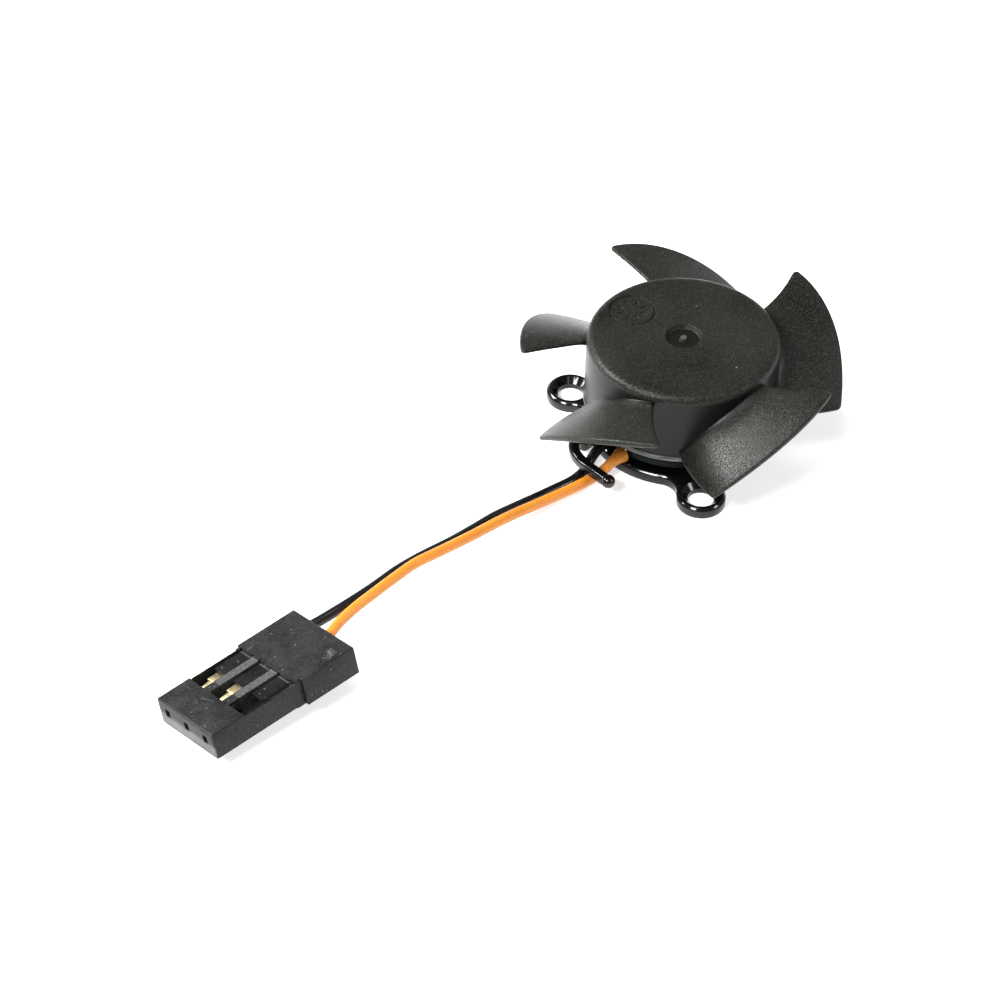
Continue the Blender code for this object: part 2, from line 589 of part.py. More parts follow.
# ---- stator and board -------------------------------------------------------------
def pole_outline(radius, hub_radius, arm_width, arc_degrees, tip_thickness):
    """Outline of a stator lamination: hub, arms and pole faces."""
    outline = []
    pitch = 360.0 / POLE_COUNT
    half_arm = arm_width / 2
    neck_radius = radius - tip_thickness
    at_hub = atan2(half_arm, (hub_radius ** 2 - half_arm ** 2) ** 0.5) * 180 / pi
    at_neck = atan2(half_arm, (neck_radius ** 2 - half_arm ** 2) ** 0.5) * 180 / pi
    for k in range(POLE_COUNT):
        centre = k * pitch + pitch / 2
        outline += arc((0, 0), hub_radius, centre - pitch + at_hub, centre - at_hub, 12.0)
        outline += [polar(neck_radius, centre - at_neck),
                    polar(neck_radius + POLE_TIP_SLOPE, centre - arc_degrees / 2)]
        outline += arc((0, 0), radius, centre - arc_degrees / 2, centre + arc_degrees / 2, 10.0)
        outline += [polar(neck_radius + POLE_TIP_SLOPE, centre + arc_degrees / 2),
                    polar(neck_radius, centre + at_neck)]
    return outline


def make_stator(steel, plastic, copper, tin):
    bore = arc((0, 0), STATOR_BORE, 360, 10, 10)
    core_loop = pole_outline(STATOR_RADIUS, STATOR_HUB_RADIUS, POLE_ARM_WIDTH, POLE_ARC,
                             POLE_TIP_THICKNESS)
    outline_solid("stator_core", [core_loop, bore], STACK_Z, STACK_Z + STATOR_STACK, steel)
    cover_loop = pole_outline(STATOR_RADIUS - INSULATOR_OVERHANG, STATOR_HUB_RADIUS + INSULATOR_OVERHANG,
                              POLE_ARM_WIDTH + 2 * INSULATOR_OVERHANG, POLE_ARC - POLE_SHOULDER,
                              POLE_TIP_THICKNESS - INSULATOR_OVERHANG)
    for name, bottom in (("lower_insulator", LOWER_INSULATOR_Z), ("upper_insulator", UPPER_INSULATOR_Z)):
        outline_solid(name, [cover_loop, bore], bottom, bottom + INSULATOR_THICKNESS, plastic)
    half_inner = POLE_ARM_WIDTH / 2 + INSULATOR_OVERHANG + COIL_GAP
    low_inner = LOWER_INSULATOR_Z - COIL_GAP
    high_inner = UPPER_INSULATOR_Z + INSULATOR_THICKNESS + COIL_GAP
    r_start = STATOR_HUB_RADIUS + INSULATOR_OVERHANG + COIL_GAP
    # the outer end stays clear of the sloping inner side of the pole face
    cover_half = POLE_ARM_WIDTH / 2 + INSULATOR_OVERHANG
    neck = STATOR_RADIUS - POLE_TIP_THICKNESS
    inner_x = (neck ** 2 - cover_half ** 2) ** 0.5
    tip_x, tip_y = polar(neck + POLE_TIP_SLOPE, POLE_ARC / 2)
    slope = (inner_x - tip_x) / (tip_y - cover_half)
    r_end = inner_x - slope * (half_inner + COIL_BUILD - cover_half) - COIL_GAP
    middle = (low_inner + high_inner) / 2
    for k in range(POLE_COUNT):
        name = "coil_%d" % (k + 1)
        half_height = (high_inner - low_inner) / 2
        loops = []
        for grow in (COIL_BUILD, 0.0):
            w, h = half_inner + grow, half_height + grow
            c = COIL_CORNER + grow * COIL_CORNER_GROWTH
            corners = [(w - c, -h + c, -90), (w - c, h - c, 0), (-w + c, h - c, 90), (-w + c, -h + c, 180)]
            loop = []
            for x, y, start in corners:
                loop += arc((x, y), c, start, start + 90, 30.0)
            loops.append(loop)
        coil = outline_solid(name, loops, r_start, r_end, copper)
        stand = Matrix.Rotation(radians(90), 4, "X")
        face = Matrix.Rotation(radians(90 + (k + 0.5) * 360.0 / POLE_COUNT), 4, "Z")
        coil.matrix_world = Matrix.Translation((0, 0, middle * MM)) @ face @ stand
    pin_bottom = BOARD_TOP + STACK_GAP
    pin_top = LOWER_INSULATOR_Z - STACK_GAP
    for k in range(PIN_COUNT):
        pin = disc("winding_pin_%d" % (k + 1), PIN_RADIUS, pin_bottom, pin_top, tin, 12)
        x, y = polar(PIN_CIRCLE_RADIUS, k * 90.0)
        pin.location = (x * MM, y * MM, 0.0)


def make_board(board_green, chip_black, ceramic, solder):
    tube_ring("driver_board", SHOULDER_RADIUS + PRESS_GAP, BOARD_RADIUS, BOARD_Z, BOARD_TOP,
              board_green)
    part_z = BOARD_TOP + STACK_GAP
    for name, (radius, angle) in SMD_PLACES.items():
        length, width, height = SMD_SIZES[name]
        finish = ceramic if name == "filter_capacitor" else chip_black
        x, y = polar(radius, angle)
        place = Matrix.Translation((x * MM, y * MM, 0.0)) @ Matrix.Rotation(radians(angle + 90), 4, "Z")
        box(name, (-length / 2, -width / 2, part_z), (length / 2, width / 2, part_z + height), finish,
            place=place)
    for name, route in (("black_solder_joint", BLACK_ROUTE), ("orange_solder_joint", ORANGE_ROUTE)):
        end, along = Vector(route[0]), Vector(route[0]) - Vector(route[1])
        angle = atan2(along.y, along.x)
        place = Matrix.Translation((end.x * MM, end.y * MM, 0.0)) @ Matrix.Rotation(angle, 4, "Z")
        inset = hypot(end.x, end.y) - BOARD_RADIUS + SOLDER_SETBACK
        shape = bmesh.new()
        bmesh.ops.create_uvsphere(shape, u_segments=12, v_segments=8, radius=1.0)
        bmesh.ops.scale(shape, vec=(SOLDER_LENGTH / 2 * MM, SOLDER_WIDTH / 2 * MM, SOLDER_HEIGHT * MM),
                        verts=shape.verts)
        cut = bmesh.ops.bisect_plane(shape, geom=shape.verts[:] + shape.edges[:] + shape.faces[:],
                                     plane_co=(0, 0, 0), plane_no=(0, 0, -1), clear_outer=True)
        rim = [e for e in cut["geom_cut"] if isinstance(e, bmesh.types.BMEdge)]
        bmesh.ops.edgeloop_fill(shape, edges=rim)
        bmesh.ops.translate(shape, vec=((inset + SOLDER_LENGTH / 2) * MM, 0, part_z * MM),
                            verts=shape.verts)
        joint = add_object(name, mesh_from_bmesh(name, shape), solder)
        joint.matrix_world = place


# ---- rotor -------------------------------------------------------------------------
def make_blade(index, group):
    """One twisted blade: a grid bent to its upper face, thickened downwards."""
    across, along = 5, 9
    root_radius = HUB_RADIUS - BLADE_EMBED
    shape = bmesh.new()
    bmesh.ops.create_grid(shape, x_segments=across, y_segments=along, size=0.5)
    swell = [1 - (1 - BLADE_EDGE_SHARE) * (2 * abs(v.co.y)) ** 4 for v in shape.verts]
    for vert in shape.verts:
        out = vert.co.x + 0.5
        rise = vert.co.y + 0.5
        radius = root_radius + (BLADE_TIP_RADIUS - root_radius) * out
        share = (radius - HUB_RADIUS) / (BLADE_TIP_RADIUS - HUB_RADIUS)
        span = BLADE_ROOT_SPAN + (BLADE_TIP_SPAN - BLADE_ROOT_SPAN) * share
        high = BLADE_FIRST_ANGLE + index * 360.0 / BLADE_COUNT + BLADE_SWEEP * share
        camber = BLADE_ROOT_CAMBER + (BLADE_TIP_CAMBER - BLADE_ROOT_CAMBER) * share
        bottom = BLADE_ROOT_HEIGHTS[0] + (BLADE_TIP_HEIGHTS[0] - BLADE_ROOT_HEIGHTS[0]) * share
        top = BLADE_ROOT_HEIGHTS[1] + (BLADE_TIP_HEIGHTS[1] - BLADE_ROOT_HEIGHTS[1]) * share ** 2
        x, y = polar(radius, high - span * (1 - rise))
        z = bottom + (top - bottom) * (rise + camber * rise * (1 - rise))
        vert.co = (x * MM, y * MM, z * MM)
    for face in shape.faces:
        face.normal_update()
        if face.normal.z < 0:
            face.normal_flip()
    mesh = bpy.data.meshes.new("blade_%d" % index)
    shape.to_mesh(mesh)
    shape.free()
    mesh.shade_smooth()
    blade = add_object("blade_%d" % (index + 1), mesh, group=group)
    taper = blade.vertex_groups.new(name="taper")
    for i, weight in enumerate(swell):
        taper.add([i], weight, "REPLACE")
    thick = blade.modifiers.new("thickness", "SOLIDIFY")
    thick.thickness = BLADE_THICKNESS * MM
    thick.offset = -1.0
    thick.vertex_group = "taper"
    return blade


def make_impeller(finish):
    inner = HUB_RADIUS - HUB_WALL
    ceiling = HUB_TOP - HUB_ROOF
    dimple_floor = HUB_TOP - DIMPLE_DEPTH
    profile = [(0.0, dimple_floor + GATE_NUB_HEIGHT), (GATE_NUB_RADIUS, dimple_floor + GATE_NUB_HEIGHT),
               (GATE_NUB_RADIUS, dimple_floor), (DIMPLE_RADIUS - DIMPLE_SLOPE, dimple_floor),
               (DIMPLE_RADIUS, HUB_TOP)]
    corner = (HUB_RADIUS - HUB_EDGE_ROUND, HUB_TOP - HUB_EDGE_ROUND)
    profile += arc(corner, HUB_EDGE_ROUND, 90, 0, 22.5)
    lip_top = HUB_BOTTOM + HUB_LIP_HEIGHT
    profile += [(HUB_RADIUS, lip_top + HUB_LIP_STEP), (HUB_RADIUS + HUB_LIP_STEP, lip_top),
                (HUB_RADIUS + HUB_LIP_STEP, HUB_BOTTOM), (inner, HUB_BOTTOM), (inner, ceiling),
                (BOSS_RADIUS, ceiling), (BOSS_RADIUS, BOSS_BOTTOM), (BEARING_BORE, BOSS_BOTTOM),
                (BEARING_BORE, SHAFT_SOCKET_TOP), (0.0, SHAFT_SOCKET_TOP)]
    impeller = turned("impeller", profile, finish, ROUND_SEGMENTS)
    for k in range(BLADE_COUNT):
        boolean(impeller, make_blade(k, cutters), "UNION")
    return impeller


def make_yoke_and_magnet(steel, ferrite):
    inner = YOKE_RADIUS - YOKE_THICKNESS
    top = HUB_TOP - HUB_ROOF - STACK_GAP
    hole = BOSS_RADIUS + PRESS_GAP * 2
    profile = [(hole, top), (YOKE_RADIUS - YOKE_BEND, top), (YOKE_RADIUS, top - YOKE_BEND),
               (YOKE_RADIUS, YOKE_BOTTOM), (inner, YOKE_BOTTOM), (inner, top - YOKE_THICKNESS),
               (hole, top - YOKE_THICKNESS)]
    turned("rotor_yoke", profile, steel, ROUND_SEGMENTS, closed=True)
    tube_ring("ring_magnet", MAGNET_RADIUS - MAGNET_THICKNESS, MAGNET_RADIUS, MAGNET_BOTTOM,
              MAGNET_BOTTOM + MAGNET_HEIGHT, ferrite, ROUND_SEGMENTS)


# ---- lead and plug ------------------------------------------------------------------
def make_wire(name, route, finish):
    curve = bpy.data.curves.new(name, "CURVE")
    curve.dimensions = "3D"
    curve.bevel_depth = WIRE_DIAMETER / 2 * MM
    curve.bevel_resolution = 2
    curve.use_fill_caps = True
    line = smooth_line(route, WIRE_POINT_STEP)
    spline = curve.splines.new("POLY")
    spline.points.add(len(line) - 1)
    for point, place in zip(spline.points, line):
        point.co = (*(place * MM), 1.0)
    path = bpy.data.objects.new(name + "_path", curve)
    return add_object(name, mesh_of_curve(name, path), finish)


def plug_matrix():
    turn = [radians(a) for a in PLUG_TURN]
    place = Matrix.Translation([v * MM for v in PLUG_PLACE])
    return (place @ Matrix.Rotation(turn[2], 4, "Z") @ Matrix.Rotation(turn[1], 4, "Y")
            @ Matrix.Rotation(turn[0], 4, "X"))


def make_plug(plastic, gold):
    place = plug_matrix()
    half = PLUG_NOSE_WIDTH / 2
    plug = box("plug_housing", (0.0, -half, 0.0),
               (PLUG_NOSE_LENGTH + CUTTER_OVERRUN, half, PLUG_THICKNESS), plastic, place=place)
    rear = box("plug_rear", (PLUG_NOSE_LENGTH, -half - PLUG_STEP_RIGHT, -REAR_RISE),
               (PLUG_LENGTH, half + PLUG_STEP_LEFT, PLUG_THICKNESS + REAR_RISE), group=cutters,
               place=place)
    boolean(plug, rear, "UNION")
    floor, roof = CHANNEL_FLOOR, CHANNEL_FLOOR + CHANNEL_HEIGHT
    middle = (floor + roof) / 2
    over = CUTTER_OVERRUN
    above = PLUG_THICKNESS + over
    slot = TONGUE_SLOT
    for k in range(WAY_COUNT):
        y = (1 - k) * WAY_PITCH
        near, far = y - CHANNEL_WIDTH / 2, y + CHANNEL_WIDTH / 2
        hole = CONTACT_HOLE / 2
        tools = {"channel": ((NOSE_WALL, near, floor), (PLUG_LENGTH + over, far, roof)),
                 "contact": ((-over, y - hole, middle - hole), (NOSE_WALL + over, y + hole, middle + hole)),
                 "window": ((WINDOW_START, near, middle), (TONGUE_START, far, above)),
                 "slot_a": ((TONGUE_START - JOIN, near, middle), (PLUG_NOSE_LENGTH, near + slot, above)),
                 "slot_b": ((TONGUE_START - JOIN, far - slot, middle), (PLUG_NOSE_LENGTH, far, above)),
                 "drop": ((TONGUE_START - JOIN / 2, near, PLUG_THICKNESS - TONGUE_DROP),
                          (PLUG_NOSE_LENGTH - JOIN / 2, far, above))}
        for kind, (low, high) in tools.items():
            boolean(plug, box("%s_%d" % (kind, k + 1), low, high, group=cutters, place=place))
    for k, name in enumerate(("black_terminal", "orange_terminal")):
        make_terminal(name, (1 - k) * WAY_PITCH, gold, place)


def make_terminal(name, y, finish, place):
    """Crimp socket: contact box, locking barb, neck and crimp barrel in one strip."""
    sheet = TERMINAL_SHEET
    floor = CHANNEL_FLOOR + TERMINAL_FLOOR_GAP
    top = floor + TERMINAL_HEIGHT
    front, back = NOSE_WALL + TERMINAL_SETBACK, TONGUE_START - TERMINAL_TONGUE_GAP
    barb_end = back - BARB_SETBACK
    neck_end = back + NECK_LENGTH
    crimp_end = neck_end + CRIMP_LENGTH - JOIN
    sleeve_end = crimp_end + SLEEVE_LENGTH - JOIN
    body = box(name, (front, y - TERMINAL_WIDTH / 2, floor), (back, y + TERMINAL_WIDTH / 2, top), finish,
               place=place)
    inside = TERMINAL_WIDTH / 2 - sheet
    bore = box(name + "_bore", (front - CUTTER_OVERRUN, y - inside, floor + sheet),
               (back + CUTTER_OVERRUN, y + inside, top - sheet), group=cutters, place=place)
    boolean(body, bore)
    # each stretch: where it starts and ends, its width, its underside and its top
    stretches = {"barb": (barb_end - BARB_LENGTH, barb_end, BARB_WIDTH, top - sheet + STEP, top + BARB_RISE),
                 "neck": (back - JOIN - STEP, neck_end, NECK_WIDTH, floor + STEP, floor + sheet - STEP),
                 "crimp": (neck_end - JOIN, crimp_end, CRIMP_WIDTH, floor + STEP * 2, floor + CRIMP_HEIGHT),
                 "sleeve": (crimp_end - JOIN, sleeve_end, SLEEVE_WIDTH, floor + STEP * 3,
                            floor + SLEEVE_HEIGHT)}
    for kind, (start, end, width, low, high) in stretches.items():
        piece = box("%s_%s" % (name, kind), (start, y - width / 2, low), (end, y + width / 2, high),
                    group=cutters, place=place)
        boolean(body, piece, "UNION")


# ---- assembly ------------------------------------------------------------------------
def main():
    anodised = material("black_anodised", (0.012, 0.012, 0.013), 0.22, 0.6)
    moulded = material("black_glass_nylon", (0.038, 0.038, 0.036), 0.5)
    brass = material("brass", (0.75, 0.55, 0.25), 0.3, 1.0)
    steel = material("bearing_steel", (0.62, 0.63, 0.65), 0.2, 1.0)
    cage = material("bearing_cage", (0.70, 0.62, 0.42), 0.4, 0.6)
    spring_steel = material("spring_steel", (0.50, 0.51, 0.53), 0.3, 1.0)
    silicon_steel = material("stator_steel", (0.35, 0.35, 0.36), 0.45, 1.0)
    yoke_steel = material("yoke_steel", (0.55, 0.55, 0.56), 0.35, 1.0)
    ferrite = material("bonded_magnet", (0.05, 0.05, 0.055), 0.6)
    insulator = material("insulator_plastic", (0.10, 0.10, 0.11), 0.5)
    copper = material("enamelled_copper", (0.62, 0.25, 0.10), 0.3, 0.9)
    tin = material("solder_tin", (0.72, 0.73, 0.74), 0.3, 1.0)
    board = material("board_laminate", (0.02, 0.16, 0.13), 0.4)
    chip = material("chip_epoxy", (0.02, 0.02, 0.02), 0.5)
    ceramic = material("ceramic_body", (0.45, 0.33, 0.22), 0.5)
    foil = material("label_foil", (0.30, 0.30, 0.31), 0.35, 0.5)
    black_skin = material("black_wire_skin", (0.010, 0.010, 0.011), 0.35)
    orange_skin = material("orange_wire_skin", (0.90, 0.27, 0.04), 0.4)
    plug_plastic = material("plug_plastic", (0.045, 0.047, 0.047), 0.55)
    pale_gold = material("terminal_plating", (0.78, 0.68, 0.42), 0.3, 1.0)

    make_base_plate(anodised)
    disc("underside_label", LABEL_RADIUS, 0.0, LABEL_THICKNESS, foil)
    make_bearing_tube(brass)
    make_bearing("lower", LOWER_BEARING_Z, steel, cage)
    make_bearing("upper", UPPER_BEARING_Z, steel, cage)
    make_shaft(steel)
    make_clip_and_washer(spring_steel)
    make_preload_spring(spring_steel)
    make_stator(silicon_steel, insulator, copper, tin)
    make_board(board, chip, ceramic, tin)
    make_impeller(moulded)
    make_yoke_and_magnet(yoke_steel, ferrite)
    make_wire("black_wire", BLACK_ROUTE, black_skin)
    make_wire("orange_wire", ORANGE_ROUTE, orange_skin)
    make_plug(plug_plastic, pale_gold)


main()
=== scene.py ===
from math import acos, atan2, cos, degrees, exp, hypot, pi, radians, sin, sqrt, tan, tau

import bmesh
import bpy
from mathutils import Matrix, Vector


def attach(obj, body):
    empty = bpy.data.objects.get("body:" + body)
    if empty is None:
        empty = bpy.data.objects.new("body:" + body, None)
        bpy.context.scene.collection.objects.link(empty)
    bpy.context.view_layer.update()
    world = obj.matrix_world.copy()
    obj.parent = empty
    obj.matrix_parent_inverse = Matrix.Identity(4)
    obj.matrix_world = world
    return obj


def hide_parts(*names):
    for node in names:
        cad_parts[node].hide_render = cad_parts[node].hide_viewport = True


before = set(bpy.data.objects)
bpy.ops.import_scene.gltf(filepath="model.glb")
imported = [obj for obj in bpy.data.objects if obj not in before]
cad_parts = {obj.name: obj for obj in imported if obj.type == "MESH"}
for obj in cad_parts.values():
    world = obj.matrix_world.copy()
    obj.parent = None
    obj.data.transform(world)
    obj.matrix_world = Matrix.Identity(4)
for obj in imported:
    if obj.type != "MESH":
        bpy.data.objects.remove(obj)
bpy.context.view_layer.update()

# Open-frame cooling fan with its servo lead.  Sizes are in millimetres, and mm turns them
# into metres.  The rotor's axis is Z, and the plate lies on z = 0.
mm = 0.001


def placed(name, data):
    # a new object for a mesh, curve, lamp or camera, linked into the scene
    made = bpy.data.objects.new(name, data)
    bpy.context.scene.collection.objects.link(made)
    return made


camera = {
    # looks down on the fan from the front, slightly turned
    "place": (-57.161, -244.865, 219.842),
    "lookAt": (-15.849, -1.647, -5.312),
    "roll": 1.141,
    "lens": 138.4,
    "sensor": 36.0,
    "clip": (0.01, 10.0),      # in metres
}


def placeCamera():
    lens = bpy.data.cameras.new("studioCamera")
    lens.lens = camera["lens"]
    lens.sensor_width = camera["sensor"]
    lens.clip_start, lens.clip_end = camera["clip"]
    seat = placed("studioCamera", lens)
    place = Vector(camera["place"]) * mm
    aim = Vector(camera["lookAt"]) * mm - place
    turn = aim.to_track_quat("-Z", "Y").to_matrix().to_4x4()
    roll = Matrix.Rotation(radians(camera["roll"]), 4, "Z")
    seat.matrix_world = Matrix.Translation(place) @ turn @ roll
    bpy.context.scene.camera = seat
    print("camera placed")


def curveLine(points, step):
    # a smooth curve through the points, read at even steps
    knots = [Vector(p) for p in points]
    ends = [knots[0] * 2 - knots[1]] + knots + [knots[-1] * 2 - knots[-2]]
    fine = []
    shares = 24
    for i in range(1, len(ends) - 2):
        a, b, c, d = ends[i - 1:i + 3]
        for k in range(shares):
            t = k / shares
            fine.append(0.5 * (2 * b + (c - a) * t + (2 * a - 5 * b + 4 * c - d) * t ** 2
                               + (3 * b - a - 3 * c + d) * t ** 3))
    fine.append(knots[-1])
    reach = [0.0]
    for a, b in zip(fine, fine[1:]):
        reach.append(reach[-1] + (b - a).length)
    count = round(reach[-1] / step)
    line = []
    i = 0
    for k in range(count + 1):
        goal = reach[-1] * k / count
        while i < len(fine) - 2 and reach[i + 1] < goal:
            i += 1
        share = (goal - reach[i]) / (reach[i + 1] - reach[i])
        line.append(fine[i].lerp(fine[i + 1], share))
    return line


def polar(radius, angle):
    return radius * cos(radians(angle)), radius * sin(radians(angle))


def partWay(start, end, share):
    return start + (end - start) * share


def roundedLine(points, closed=False, segments=5):
    # points are (x, y) or (x, y, corner radius); each corner radius becomes a short curve
    out = []
    count = len(points)
    for i, point in enumerate(points):
        x, y = point[0], point[1]
        radius = point[2] if len(point) > 2 else 0.0
        if radius == 0.0 or (not closed and i in (0, count - 1)):
            out.append((x, y))
            continue
        here = Vector((x, y))
        back = Vector(points[i - 1][:2]) - here
        ahead = Vector(points[(i + 1) % count][:2]) - here
        turn = back.angle(ahead)
        reach = min(radius / tan(turn / 2), radius * 4, back.length * 0.49, ahead.length * 0.49)
        start = here + back.normalized() * reach
        end = here + ahead.normalized() * reach
        for k in range(segments + 1):
            t = k / segments
            spot = start * (1 - t) ** 2 + here * 2 * t * (1 - t) + end * t ** 2
            out.append((spot.x, spot.y))
    return out


def spun(profile, steps=96, closed=False):
    # turn an (r, z) line about Z into a solid
    shape = bmesh.new()
    verts = [shape.verts.new((r * mm, 0.0, z * mm)) for r, z in profile]
    edges = [shape.edges.new(pair) for pair in zip(verts, verts[1:])]
    if closed:
        edges.append(shape.edges.new((verts[-1], verts[0])))
    bmesh.ops.spin(shape, geom=verts + edges, cent=(0, 0, 0), axis=(0, 0, 1), angle=tau,
                   steps=steps, use_merge=True, use_duplicate=False)
    bmesh.ops.remove_doubles(shape, verts=shape.verts, dist=0.5e-6)
    bmesh.ops.recalc_face_normals(shape, faces=shape.faces)
    return shape


def bevelled(shape, edges, width, segments):
    bmesh.ops.bevel(shape, geom=edges, offset=width * mm, segments=segments, affect="EDGES",
                    profile=0.5, material=-1)
    return shape


def block(low, high, edge=0.0, segments=3):
    # a box between two corners, with rounded edges
    shape = bmesh.new()
    bmesh.ops.create_cube(shape, size=1.0)
    bmesh.ops.scale(shape, vec=[(b - a) * mm for a, b in zip(low, high)], verts=shape.verts)
    bmesh.ops.translate(shape, vec=[(a + b) / 2 * mm for a, b in zip(low, high)], verts=shape.verts)
    return bevelled(shape, shape.edges[:], edge, segments) if edge else shape


def ball(centre, radius, columns=32, rows=20):
    shape = bmesh.new()
    bmesh.ops.create_uvsphere(shape, u_segments=columns, v_segments=rows, radius=radius * mm)
    bmesh.ops.translate(shape, vec=Vector(centre) * mm, verts=shape.verts)
    return shape


def moved(shape, x=0.0, y=0.0, z=0.0):
    bmesh.ops.translate(shape, vec=(x * mm, y * mm, z * mm), verts=shape.verts)
    return shape


def asMesh(name, shape):
    mesh = bpy.data.meshes.new(name)
    shape.to_mesh(mesh)
    shape.free()
    return mesh


def combined(base, tools, operation):
    # Boolean of one shape with several others, as a new shape
    target = placed("work", asMesh("work", base))
    helpers = []
    for tool in tools:
        helper = placed("tool", asMesh("tool", tool))
        cut = target.modifiers.new("cut", "BOOLEAN")
        cut.operation = operation
        cut.object = helper
        cut.solver = "EXACT"
        helpers.append(helper)
    bpy.context.view_layer.update()
    depsgraph = bpy.context.evaluated_depsgraph_get()
    mesh = bpy.data.meshes.new_from_object(target.evaluated_get(depsgraph))
    shape = bmesh.new()
    shape.from_mesh(mesh)
    for helper in helpers + [target]:
        data = helper.data
        bpy.data.objects.remove(helper, do_unlink=True)
        bpy.data.meshes.remove(data)
    bpy.data.meshes.remove(mesh)
    return shape


def piece(name, shape, material, body, stands, sharp=38.0):
    # a finished mesh with its material, riding a body and standing in for some of the frame's nodes, which
    # it hides
    mesh = asMesh(name, shape)
    mesh.shade_smooth()
    mesh.set_sharp_from_angle(angle=radians(sharp))
    mesh.materials.append(material)
    made = placed(name, mesh)
    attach(made, body)
    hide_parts(*stands)
    return made


def look(dark, light, rough, grain, height, cloud, metal=0.0, specular=0.5, **own):
    # two colours and a roughness range; the grain's size and height and the size of the slow
    # change of colour are in mm
    return {"dark": dark, "light": light, "rough": rough, "grain": grain, "height": height,
            "cloud": cloud, "metal": metal, "specular": specular, **own}


looks = {
    "anodised": look((0.0025, 0.0025, 0.003), (0.005, 0.005, 0.0055), (0.10, 0.17), 0.09, 0.0005,
        2.5, specular=0.42),
    "nylon": look((0.0028, 0.0028, 0.0022), (0.021, 0.0215, 0.018), (0.27, 0.34), 0.12, 0.03,
        9.0, specular=0.19),
    "plugPlastic": look((0.0016, 0.0018, 0.0017), (0.020, 0.021, 0.020), (0.40, 0.55), 0.19, 0.02,
        1.6, specular=0.2),
    "blackSkin": look((0.003, 0.003, 0.003), (0.006, 0.006, 0.006), (0.20, 0.30), 0.2, 0.0015, 2.0),
    "orangeSkin": look((0.56, 0.175, 0.014), (0.63, 0.235, 0.024), (0.30, 0.42), 0.2, 0.0015, 3.0),
    "gold": look((0.44, 0.37, 0.20), (0.62, 0.54, 0.33), (0.38, 0.50), 0.06, 0.0012, 0.5, metal=1.0),
    "foil": look((0.34, 0.34, 0.35), (0.46, 0.46, 0.47), (0.28, 0.40), 0.05, 0.0005, 1.2, metal=0.85),
    "brass": look((0.66, 0.46, 0.20), (0.80, 0.60, 0.30), (0.22, 0.36), 0.08, 0.001, 1.0, metal=1.0),
    "bearingSteel": look((0.56, 0.57, 0.59), (0.68, 0.69, 0.71), (0.10, 0.20), 0.05, 0.0004,
        0.8, metal=1.0),
    "cage": look((0.58, 0.46, 0.24), (0.74, 0.62, 0.38), (0.30, 0.44), 0.06, 0.0008, 0.6, metal=0.8),
    "lamination": look((0.20, 0.20, 0.21), (0.42, 0.42, 0.43), (0.34, 0.48), 0.08, 0.001,
        0.9, metal=1.0, sheet=0.3),
    "insulator": look((0.05, 0.05, 0.055), (0.08, 0.08, 0.085), (0.40, 0.52), 0.09, 0.002, 1.0),
    "copper": look((0.40, 0.13, 0.045), (0.72, 0.30, 0.12), (0.20, 0.32), 0.06, 0.0008,
        0.6, metal=0.9, wire=0.16),
    "laminate": look((0.0006, 0.003, 0.0027), (0.0015, 0.007, 0.006), (0.45, 0.58), 0.08, 0.001,
        0.8, specular=0.15),
    "epoxy": look((0.014, 0.014, 0.014), (0.026, 0.026, 0.026), (0.42, 0.56), 0.05, 0.0016, 0.6),
    "ceramic": look((0.38, 0.27, 0.17), (0.50, 0.38, 0.26), (0.36, 0.48), 0.05, 0.0008, 0.4),
    "solder": look((0.60, 0.61, 0.62), (0.80, 0.80, 0.81), (0.16, 0.34), 0.12, 0.004, 0.4, metal=1.0),
    "yokeSteel": look((0.42, 0.42, 0.43), (0.56, 0.56, 0.57), (0.26, 0.40), 0.07, 0.001, 1.5, metal=1.0),
    "ferrite": look((0.030, 0.030, 0.032), (0.055, 0.055, 0.058), (0.50, 0.64), 0.06, 0.003, 0.8),
    "springSteel": look((0.42, 0.43, 0.45), (0.56, 0.57, 0.59), (0.22, 0.34), 0.05, 0.0006, 0.5, metal=1.0),
}


